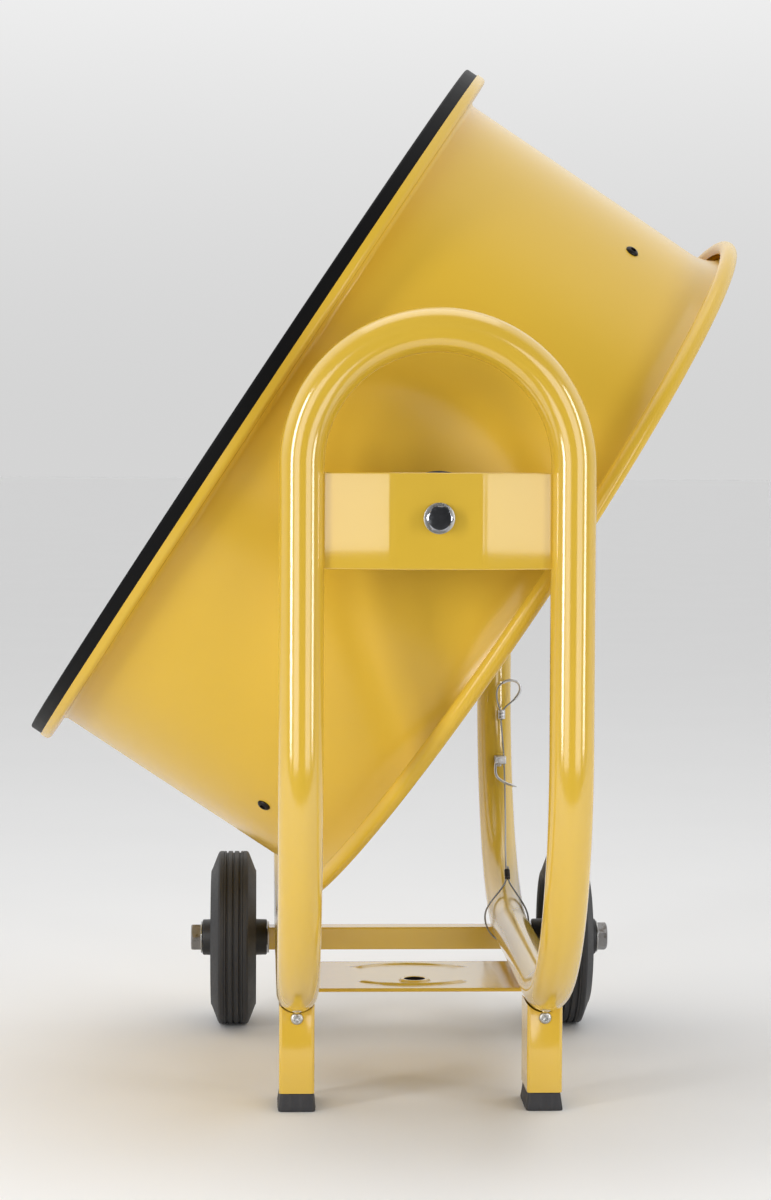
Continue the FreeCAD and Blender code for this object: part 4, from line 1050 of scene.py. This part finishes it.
def blade(i):
    bm = bmesh.new()
    nr, nc, t = 44, 36, 1.6
    rot = Matrix.Rotation(math.radians(120 * i), 4, "X")
    tops, bots = [], []
    for k in range(nr + 1):
        top, bot = [], []
        for j in range(nc + 1):
            s = -1 + 2 * j / nc
            # outline: rounded corners, outer edge follows the wall
            e = abs(s) ** 7
            r0 = 58.0 + 9 * e
            # outer edge on a circle about the axis
            ch, pd, cb = lerp_sec(270)
            yy = s * ch / 2 * math.cos(math.radians(pd))
            r1 = math.sqrt(max(0.0, 282.5 ** 2 - yy * yy)) - 26 * abs(s) ** 9
            r = r0 + (r1 - r0) * k / nr
            ch, pd, cb = lerp_sec(r)
            a = math.radians(pd)
            q = s * ch / 2
            Rr = (ch * ch / 4 + cb * cb) / (2 * cb)
            off = cb - Rr + math.sqrt(Rr * Rr - q * q)
            for lst, o in ((bot, off), (top, off + t)):
                du, dy = q * math.sin(a) + o * math.cos(a), q * math.cos(a) - o * math.sin(a)
                lst.append(bm.verts.new(rot @ (Vector((FAN_U + 4 + du, dy, r)) * MM)))
        tops.append(top)
        bots.append(bot)
    grid_faces(bm, tops, False, False)
    grid_faces(bm, [b[::-1] for b in bots], False, False)
    edge = [tops[0][j] for j in range(nc + 1)] + [tops[k][nc] for k in range(1, nr + 1)] + [tops[nr][j] for j in range(nc - 1, -1, -1)] + [tops[k][0] for k in range(nr - 1, 0, -1)]
    low = [bots[0][j] for j in range(nc + 1)] + [bots[k][nc] for k in range(1, nr + 1)] + [bots[nr][j] for j in range(nc - 1, -1, -1)] + [bots[k][0] for k in range(nr - 1, 0, -1)]
    grid_faces(bm, [edge, low], False, True)
    o = beveled("fan_blade_sheet_%d" % (i + 1), bm, M["alu"], DRUM, 0.35, 2, 50.0)
    return on(o, "fan", "blade_aluminium", "fan_blade_%d" % (i + 1))

for i in range(3):
    blade(i)
hubp = round_profile([(FAN_U - 16, 8.02), (FAN_U - 16, 22), (FAN_U - 14, 24), (FAN_U - 2, 24), (FAN_U, 34), (FAN_U + 6, 34), (FAN_U + 8, 24), (FAN_U + 20, 24), (FAN_U + 22, 22), (FAN_U + 22, 8.02)],
                     [0.4, 0.8, 0.8, 1.5, 0.8, 0.8, 1.5, 0.8, 0.8, 0.4], 3)
hub = [lathe("h", hubp, M["castalu"], DRUM, 120)]
for i in range(3):
    rot = Matrix.Rotation(math.radians(120 * i), 4, "X")
    bm = bmesh.new()
    rows = []
    for k in range(15):
        z = 30 + 66 * k / 14
        w = 17 - 2.5 * math.sin(math.pi * k / 14) - (5.0 * max(0, (k - 11) / 3) ** 2)
        rows.append([bm.verts.new(Vector((x, y, z)) * MM) for x, y in ((-3, -w), (3, -w), (3, w), (-3, w))])
    grid_faces(bm, rows, False, True)
    bm.faces.new(rows[0][::-1])
    bm.faces.new(rows[-1])
    arm = beveled("a", bm, M["castalu"], DRUM @ rot @ Matrix.Translation(Vector((FAN_U + 3, 0, 0)) * MM) @ Matrix.Rotation(math.radians(-34), 4, "Z"), 0.8, 2)
    hub.append(arm)
    for zz, yy in ((68, 0), (86, -8), (86, 8)):
        m = DRUM @ rot @ Matrix.Translation(Vector((FAN_U + 3, 0, 0)) * MM) @ Matrix.Rotation(math.radians(-34), 4, "Z")
        pr = round_profile([(-5.0, 0), (-5.0, 3.2), (-2.8, 4.2), (-2.8, 0)], [0, 1.6, 0.2, 0], 4, False)
        hub.append(lathe("r", [(u, r) for u, r in pr], M["castalu"], m @ Matrix.Translation(Vector((0, yy, zz)) * MM), 32, False))
hub.append(pan_screw("g", (FAN_U - 9, 0, 23.6), (0, 0, 1), 4.0, 1.4, M["castalu"], DRUM))
bpy.context.view_layer.update()
on(join("fan_hub_casting", hub), "fan", "cast_aluminium", "fan_hub")

# ------------------------------------------------------------------ pivots
def about(s, p=0.0):
    return DRUM @ frame_at((0, s * p, 0), (0, s, 0))
for name, node, slotn, mat, build in (
    ("friction_disc_pair", "friction_discs", "black_plastic", "plastic",
     lambda s: [lathe("x", round_profile([(352.7, 5.0), (352.7, 33.2), (361.4, 33.2), (361.4, 5.0)], [0.3, 1.4, 1.4, 0.3], 5), M["plastic"], about(s), 160)]),
    ("pivot_washer_pair", "pivot_washers", "zinc_steel", "zinc",
     lambda s: [lathe("x", round_profile([(365.3, 5.0), (365.3, 11.0), (367.5, 11.0), (367.5, 5.0)], 0.4, 3), M["zinc"], about(s), 96)]),
):
    obs = build(-1) + build(1)
    bpy.context.view_layer.update()
    on(join(name, obs), "drum", slotn, node)

def boss(s):
    pr = round_profile([(348.7, 5.0), (348.7, 30.0), (352.7, 30.0), (352.7, 5.0)], [0.3, 1.0, 0.6, 0.3], 4)
    bm = bmesh.new()
    lathe_into(bm, pr, 128, True)
    rows = []
    for i in range(128):
        a = 2 * math.pi * i / 128
        c, q = math.cos(a), math.sin(a)
        # local y,z of the boss frame; the drum axis is the frame's own y or z, so trim with the cylinder
        row = []
        for rr in (19.0,):
            base = math.sqrt(WALL_R ** 2 - (rr * c) ** 2)
            for h, k in ((base + 0.05, 1.7), (base + 0.9, 0.75), (base + 2.2, 0.0), (346.6, 0.0), (348.0, 0.6), (348.8, 2.2)):
                row.append(bm.verts.new((h * MM, -(rr + k) * q * MM, (rr + k) * c * MM)))
        rows.append(row)
    grid_faces(bm, rows, True, False)
    return obj_from_bm("b", bm, M["black"], 35.0, about(s))
obs = [boss(-1), boss(1)]
bpy.context.view_layer.update()
on(join("pivot_boss_pair", obs), "drum", "black_enamel", "pivot_bosses")

heads = []
for s in (-1, 1):
    heads.append(hex_head("b", (0, s * 367.5, 0), (0, s, 0), 17.0, 6.2, M["chrome"], DRUM, 0.0, 0.35))
    heads.append(lathe("k", [(279.8, 0.1), (279.8, 4.2), (280.6, 4.98), (367.6, 4.98), (367.6, 0.1)], M["chrome"], about(s), 48))
bpy.context.view_layer.update()
on(join("pivot_bolt_pair", heads), "drum", "chrome_bolt", "pivot_bolts")
nuts = [hex_head("n", (0, s * 292.8, 0), (0, -s, 0), 17.0, 8.6, M["zinc"], DRUM, 0.0, 0.0) for s in (-1, 1)]
bpy.context.view_layer.update()
on(join("pivot_nut_pair", nuts), "drum", "zinc_steel", "pivot_nuts")

def reinforcing_plate(s):
    """round plate rolled to the inside of the wall"""
    bm = bmesh.new()
    rows = []
    ro = WALL_R - SHEET - 0.05
    for k, (rr, dt) in enumerate(((5.1, 0.2), (5.4, 0.0), (14, 0), (24, 0), (34, 0), (42, 0), (45.4, 0.0), (46.0, 0.5))):
        row = []
        for i in range(112):
            a = 2 * math.pi * i / 112
            u, v = rr * math.cos(a), rr * math.sin(a)
            R = ro - 3.0 + dt
            row.append(bm.verts.new((u * MM, s * math.sqrt(R * R - v * v) * MM, v * MM)))
        rows.append(row)
    out = []
    for rr in (46.0, 5.1):
        row = []
        for i in range(112):
            a = 2 * math.pi * i / 112
            u, v = rr * math.cos(a), rr * math.sin(a)
            row.append(bm.verts.new((u * MM, s * math.sqrt(ro * ro - v * v) * MM, v * MM)))
        out.append(row)
    grid_faces(bm, rows + out, True, True)
    return obj_from_bm("p", bm, M["black"], 40.0, DRUM)
obs = [reinforcing_plate(-1), reinforcing_plate(1)]
bpy.context.view_layer.update()
on(join("pivot_backing_pair", obs), "drum", "black_enamel", "pivot_plates")

# ------------------------------------------------------------------ switch box, knob, gland
PHI = math.radians(32)
SW = DRUM @ Matrix(((1, 0, 0, 0.020), (0, -math.sin(PHI), math.cos(PHI), 0), (0, math.cos(PHI), math.sin(PHI), 0), (0, 0, 0, 1)))
# local x = u, y = round the drum, z = outwards

def rounded_rect(hx, hy, r, n=8):
    pts = []
    for cx, cy, a0 in ((hx - r, hy - r, 0), (-hx + r, hy - r, 90), (-hx + r, -hy + r, 180), (hx - r, -hy + r, 270)):
        for k in range(n + 1):
            a = math.radians(a0 + 90 * k / n)
            pts.append((cx + r * math.cos(a), cy + r * math.sin(a)))
    return pts

def switch_case():
    bm = bmesh.new()
    rows = []
    for z, g, rad in ((None, 0.0, 5.0), (312.0, 0.0, 5.0), (334.6, 0.0, 5.0), (334.9, 0.55, 5.0), (335.9, 0.55, 5.0), (336.2, 0.0, 5.0), (342.6, 0.0, 5.0), (344.2, 0.45, 5.0), (345.4, 1.5, 4.6), (346.0, 3.2, 4.0)):
        ro = rounded_rect(45 - g, 34 - g, rad)
        row = []
        for x, y in ro:
            zz = z if z is not None else math.sqrt((WALL_R + 0.1) ** 2 - y * y)
            row.append(bm.verts.new(Vector((x, y, zz)) * MM))
        rows.append(row)
    for hx, hy, z in ((38, 27, 346.0), (37.2, 26.2, 345.3), (14.0, 14.0, 345.3), (4.7, 4.7, 345.3)):
        if hx > 20:
            ro = rounded_rect(hx, hy, 4)
        else:
            m = len(rows[0])
            ro = []
            for x, y in rounded_rect(hx, hy, hx - 0.01):
                ro.append((x, y))
        rows.append([bm.verts.new(Vector((x, y, z)) * MM) for x, y in ro])
    rows.append([bm.verts.new(Vector((v.co.x / MM, v.co.y / MM, 342.5)) * MM) for v in rows[-1]])
    inner = []
    for x, y in rounded_rect(42.5, 31.5, 3.5):
        inner.append(bm.verts.new(Vector((x, y, 342.5)) * MM))
    rows.append(inner)
    rows.append([bm.verts.new(Vector((x, y, math.sqrt((WALL_R + 0.1) ** 2 - y * y))) * MM) for x, y in rounded_rect(42.5, 31.5, 3.5)])
    grid_faces(bm, rows, True, True)
    return obj_from_bm("case", bm, M["plastic"], 30.0, SW)
obs = [switch_case()]
for x in (-39.5, 39.5):
    for y in (-28.5, 28.5):
        obs.append(pan_screw("s", (x, y, 345.9), (0, 0, 1), 2.7, 1.1, M["plastic"], SW))
# raised position dots, no lettering
for k, ang in enumerate((200, 240, 280, 320)):
    a = math.radians(ang)
    obs.append(lathe("d", round_profile([(0, 0), (0, 1.0 + 0.25 * k), (0.7, 0.8 + 0.25 * k), (0.7, 0)], [0, 0, 0.2, 0], 3, False), M["plastic"],
                     SW @ frame_at((20.5 * math.cos(a), 20.5 * math.sin(a), 345.25), (0, 0, 1)), 20, False))
bpy.context.view_layer.update()
on(join("switch_housing", obs), "drum", "black_plastic", "switch_box")

def knob_body():
    bm = bmesh.new()
    rows = []
    seg = 144
    for z, r, fl in ((346.3, 14.4, 0.0), (346.7, 15.0, 0.0), (348.0, 15.0, 0.3), (353.6, 13.0, 0.55), (354.4, 12.4, 0.3), (354.8, 11.6, 0.0)):
        rows.append([bm.verts.new(Vector(((r - fl * (0.5 + 0.5 * math.cos(24 * 2 * math.pi * i / seg))) * math.cos(2 * math.pi * i / seg),
                                          (r - fl * (0.5 + 0.5 * math.cos(24 * 2 * math.pi * i / seg))) * math.sin(2 * math.pi * i / seg), z)) * MM) for i in range(seg)])
    grid_faces(bm, rows, False, True)
    bm.faces.new(rows[0][::-1])
    bm.faces.new(rows[-1])
    return obj_from_bm("k", bm, M["knob"], 35.0, SW)
bm = bmesh.new()
box_into(bm, -12.4, -2.9, 353.5, 12.4, 2.9, 356.5)
g1 = beveled("g", bm, M["knob"], SW, 1.0, 3)
bm = bmesh.new()
box_into(bm, 6.0, -0.45, 356.2, 11.6, 0.45, 356.6)
g2 = beveled("g", bm, M["knob"], SW, 0.15, 2)
obs = [knob_body(), g1, g2]
bpy.context.view_layer.update()
on(join("speed_knob_moulding", obs), "knob", "black_plastic", "speed_knob")

def gland():
    m = SW @ Matrix.Translation(Vector((0, 0, 331)) * MM)
    pr = round_profile([(38.0, 4.6), (38.0, 7.4), (45.0, 7.4), (45.0, 4.6)], 0.4, 3)
    a = lathe("g", pr, M["plastic"], m, 64)
    bm = bmesh.new()
    seg = 96
    rows = []
    for u, r, flat in ((45.0, 11.5, 1), (50.0, 11.5, 1), (50.5, 11.0, 1), (50.5, 8.6, 0), (57.0, 8.6, 0), (58.4, 7.8, 0), (59.0, 6.6, 0), (59.0, 4.6, 0), (45.0, 4.6, 0)):
        row = []
        for i in range(seg):
            an = 2 * math.pi * i / seg
            k = ((math.degrees(an) + 30) % 60) - 30
            rr = r
            if flat:
                rr = min(r, 10.2 / math.cos(math.radians(k)))
            elif 50.6 < u < 58 and r > 8:
                rr = r - 0.35 * (0.5 + 0.5 * math.cos(12 * an))
            row.append(bm.verts.new(Vector((u, rr * math.cos(an), rr * math.sin(an))) * MM))
        rows.append(row)
    grid_faces(bm, rows, True, True)
    b = obj_from_bm("g", bm, M["plastic"], 30.0, m)
    return [a, b]
obs = gland()
bpy.context.view_layer.update()
on(join("cable_gland_moulding", obs), "drum", "black_plastic", "cable_gland")

# ================================================================== wire tether on the stand
rope_ctrl = [(98.6, 209.6, 136.8), (98.5, 204.8, 130.6), (98.3, 200.4, 124.9), (103.4, 193.6, 117.2), (108.9, 186.2, 109.4), (113.2, 180.4, 101.6),
             (114.6, 175.2, 93.8), (113.0, 171.2, 84.4), (106.6, 168.4, 77.2), (96.4, 167.2, 74.6), (86.0, 168.4, 76.8),
             (78.4, 171.2, 84.0), (75.2, 175.4, 93.4), (76.2, 180.2, 101.6), (82.4, 186.4, 109.8), (90.4, 193.4, 117.4),
             (96.4, 200.2, 124.9), (96.7, 206.8, 133.0), (97.0, 214.6, 141.2), (98.2, 234.0, 152.6), (100.4, 260.0, 164.4),
             (102.0, 283.0, 180.2), (102.8, 298.6, 197.4), (103.0, 308.8, 215.2), (102.6, 316.2, 233.2), (101.5, 321.8, 248.6),
             (100.8, 325.0, 259.6), (100.7, 326.3, 268.2), (97.6, 327.4, 275.4), (96.6, 328.0, 283.2), (98.4, 328.0, 290.4),
             (104.0, 328.0, 295.0), (111.2, 328.0, 296.6), (117.8, 328.0, 294.2), (119.8, 328.0, 287.8), (116.6, 328.0, 280.8),
             (110.6, 327.8, 275.2), (104.6, 327.2, 270.6), (102.4, 326.3, 265.2), (102.4, 325.2, 259.2)]

def spline_line(ctrl, res=16):
    """points of a NURBS spline with these control points"""
    cu = bpy.data.curves.new("route", "CURVE")
    cu.dimensions = "3D"
    sp = cu.splines.new("NURBS")
    sp.points.add(len(ctrl) - 1)
    for q, c in zip(sp.points, ctrl):
        q.co = (c[0] * MM, c[1] * MM, c[2] * MM, 1.0)
    sp.order_u = 3
    sp.use_endpoint_u = True
    sp.resolution_u = res
    ob = bpy.data.objects.new("route", cu)
    bpy.context.scene.collection.objects.link(ob)
    bpy.context.view_layer.update()
    me = bpy.data.meshes.new_from_object(ob)
    pts = [v.co / MM for v in me.vertices]
    bpy.data.objects.remove(ob)
    bpy.data.curves.remove(cu)
    bpy.data.meshes.remove(me)
    return clean_path(pts)

rope_line = spline_line(rope_ctrl)

def stranded(name, pts, r, lay, n, mat):
    fr = frames(pts, (0, 1, 0))
    bm = bmesh.new()
    acc = [0.0]
    for i in range(1, len(pts)):
        acc.append(acc[-1] + (pts[i] - pts[i - 1]).length)
    sr = r * 0.36
    for s in range(n):
        line = []
        for i, (p, t, u, w) in enumerate(fr):
            a = 2 * math.pi * (acc[i] / lay + s / n)
            line.append(p + (u * math.cos(a) + w * math.sin(a)) * (r - sr))
        sweep_into(bm, line, sr, sides=8)
    sweep_into(bm, pts, r * 0.55, sides=8)
    return obj_from_bm(name, bm, mat, 60.0, STAND)

on(stranded("tether_strands", rope_line, 0.8, 9.0, 6, M["rope"]), "stand", "rope_steel", "tether_rope")
eye = [p for p in rope_line if p.z > 278.0 and p.x > 102.5]
on(sweep("tether_eye_sleeve", eye, 1.35, M["ferrule"], STAND, sides=18, up=(0, 1, 0)), "stand", "cast_aluminium")

def ferrule(name, x, y, z0, z1, hx, hy, mat, crimps, lean=0.0):
    bm = bmesh.new()
    rows = []
    n = 44
    for k in range(n + 1):
        q = k / n
        z = z0 + (z1 - z0) * q
        e = min(q, 1 - q) * (z1 - z0)
        g = 0.0 if e > 0.9 else 0.4 * (1 - e / 0.9) ** 2
        c = sum(math.exp(-((q - cq) / 0.075) ** 2) for cq in crimps) * 0.3
        row = []
        for i in range(40):
            a = 2 * math.pi * i / 40
            ca, sa = math.cos(a), math.sin(a)
            kx = abs(ca) ** 0.75 * (1 if ca > 0 else -1)
            ky = abs(sa) ** 0.9 * (1 if sa > 0 else -1)
            row.append(bm.verts.new(Vector((x + (hx - g - c * 0.3) * kx, y + (hy - g - c) * ky, z)) * MM))
        rows.append(row)
    grid_faces(bm, rows, False, True)
    bm.faces.new(rows[0][::-1])
    bm.faces.new(rows[-1])
    mid = Matrix.Translation(Vector((x, y, (z0 + z1) / 2)) * MM)
    return obj_from_bm(name, bm, mat, 40.0, STAND @ mid @ Matrix.Rotation(-math.radians(lean), 4, "X") @ mid.inverted())
on(ferrule("tether_lower_sleeve", 97.6, 204.9, 125.6, 135.6, 2.5, 1.6, M["dark_ferrule"], (0.25, 0.75), 38.7), "stand", "cast_aluminium", "tether_ferrule_lower")
on(ferrule("tether_upper_sleeve", 101.6, 325.7, 259.8, 268.2, 3.3, 2.0, M["ferrule"], (0.3, 0.7), 7.0), "stand", "cast_aluminium", "tether_ferrule_upper")

bm = bmesh.new()
box_into(bm, 94.2, 308.7, 218.9, 104.8, 321.0, 226.3)
blk = beveled("blk", bm, M["ferrule"], STAND, 0.9, 3)
bail_ctrl = [(95.4, 311.0, 221.0), (94.2, 307.6, 214.4), (95.4, 303.2, 207.0), (103.6, 298.2, 202.2), (109.6, 297.2, 200.4), (113.7, 296.6, 199.1)]
bail = sweep("bail", spline_line(bail_ctrl, 12), 1.2, M["ferrule"], STAND, sides=14,
             rfun=lambda t: 1.2 if t < 0.84 else 1.2 - 0.9 * ((t - 0.84) / 0.16) ** 1.3)
grips = [hex_head("n", (98.0, 311.8, 218.9), (0, 0, -1), 4.4, 2.0, M["ferrule"], STAND, 10),
         hex_head("n", (98.6, 308.8, 222.6), (0, -1, 0), 3.8, 0.9, M["ferrule"], STAND, 20)]
bpy.context.view_layer.update()
on(join("tether_clip_assembly", [blk, bail] + grips), "stand", "cast_aluminium", "tether_clip")

# ================================================================== CAD nodes carried over
for node, mat, slotn in (("axle_bar", "yellow", "yellow_enamel"),
                         ("axle_end_plugs", "zinc", "zinc_steel"), ("motor_bearings", "zinc", "zinc_steel"), ("motor_shaft", "zinc", "zinc_steel"),
                         ("motor_stator", "winding", "winding_steel"), ("motor_rotor", "winding", "winding_steel"), ("rotary_switch", "plastic", "black_plastic")):
    n = frame["nodes"][node]
    n.data.materials.clear()
    n.data.materials.append(M[mat])

# ================================================================== floor and light
def floor():
    bm = bmesh.new()
    v = [bm.verts.new(p) for p in ((-60, -0.9, 0), (60, -0.9, 0), (60, 120, 0), (-60, 120, 0))]
    bm.faces.new(v)
    g = Nodes("pale_floor")
    n = g.noise(3.0, 3.0, 0.5)
    g.color(g.ramp(n, [(0.3, (0.84, 0.84, 0.84, 1)), (0.7, (0.855, 0.855, 0.855, 1))]))
    g.rough(g.span(n, 0.6, 0.7))
    o = obj_from_bm("floor", bm, g.set(Specular_IOR_Level=0.1))
    return o
floor()

# the room: bright all round behind the object, dim behind the camera
HORIZON, SKY, BEHIND = 0.66, 1.15, 0.10
def world():
    w = bpy.data.worlds.new("studio")
    bpy.context.scene.world = w
    w.use_nodes = True
    nt = w.node_tree
    nt.nodes.clear()
    out = nt.nodes.new("ShaderNodeOutputWorld")
    bg = nt.nodes.new("ShaderNodeBackground")
    tc = nt.nodes.new("ShaderNodeTexCoord")
    sp = nt.nodes.new("ShaderNodeSeparateXYZ")
    nt.links.new(tc.outputs["Generated"], sp.inputs[0])
    up = nt.nodes.new("ShaderNodeMapRange")
    up.interpolation_type = "SMOOTHSTEP"
    for k, v in (("From Min", 0.0), ("From Max", 0.35), ("To Min", HORIZON), ("To Max", SKY)):
        up.inputs[k].default_value = v
    nt.links.new(sp.outputs["Z"], up.inputs["Value"])
    back = nt.nodes.new("ShaderNodeMapRange")
    back.interpolation_type = "SMOOTHSTEP"
    for k, v in (("From Min", -0.45), ("From Max", 0.15), ("To Min", BEHIND), ("To Max", 1.0)):
        back.inputs[k].default_value = v
    nt.links.new(sp.outputs["Y"], back.inputs["Value"])
    mu = nt.nodes.new("ShaderNodeMath")
    mu.operation = "MULTIPLY"
    nt.links.new(up.outputs[0], mu.inputs[0])
    nt.links.new(back.outputs[0], mu.inputs[1])
    nt.links.new(mu.outputs[0], bg.inputs["Strength"])
    bg.inputs["Color"].default_value = (1.0, 1.0, 1.0, 1.0)
    nt.links.new(bg.outputs[0], out.inputs[0])
world()

def area(name, loc, target, w, h, power, col=(1, 1, 1)):
    l = bpy.data.lights.new(name, "AREA")
    l.shape = "RECTANGLE"
    l.size, l.size_y, l.energy, l.color = w, h, power, col
    o = bpy.data.objects.new(name, l)
    o.location = loc
    o.rotation_euler = (Vector(target) - Vector(loc)).to_track_quat("-Z", "Y").to_euler()
    bpy.context.scene.collection.objects.link(o)
    return o
# two tall softboxes either side of the camera, two narrower ones further round, and one overhead
for nm, az, d, w_, h_, pw in (("softbox_left", -29.0, 1.3, 0.58, 1.10, 4.35), ("softbox_right", 31.0, 1.3, 0.61, 1.10, 4.5),
                              ("side_left", -55.0, 2.5, 0.42, 1.7, 28.0), ("side_right", 58.0, 2.5, 0.42, 1.7, 17.0)):
    a = math.radians(az)
    area(nm, (d * math.sin(a), -0.365 - d * math.cos(a), 0.02 + h_ / 2), (0, -0.365, 0.02 + h_ / 2), w_, h_, pw)
area("overhead", (0.0, 0.1, 2.9), (0, 0, 0.3), 2.4, 2.0, 14)

bpy.context.scene.view_settings.view_transform = "Standard"
bpy.context.scene.view_settings.look = "None"

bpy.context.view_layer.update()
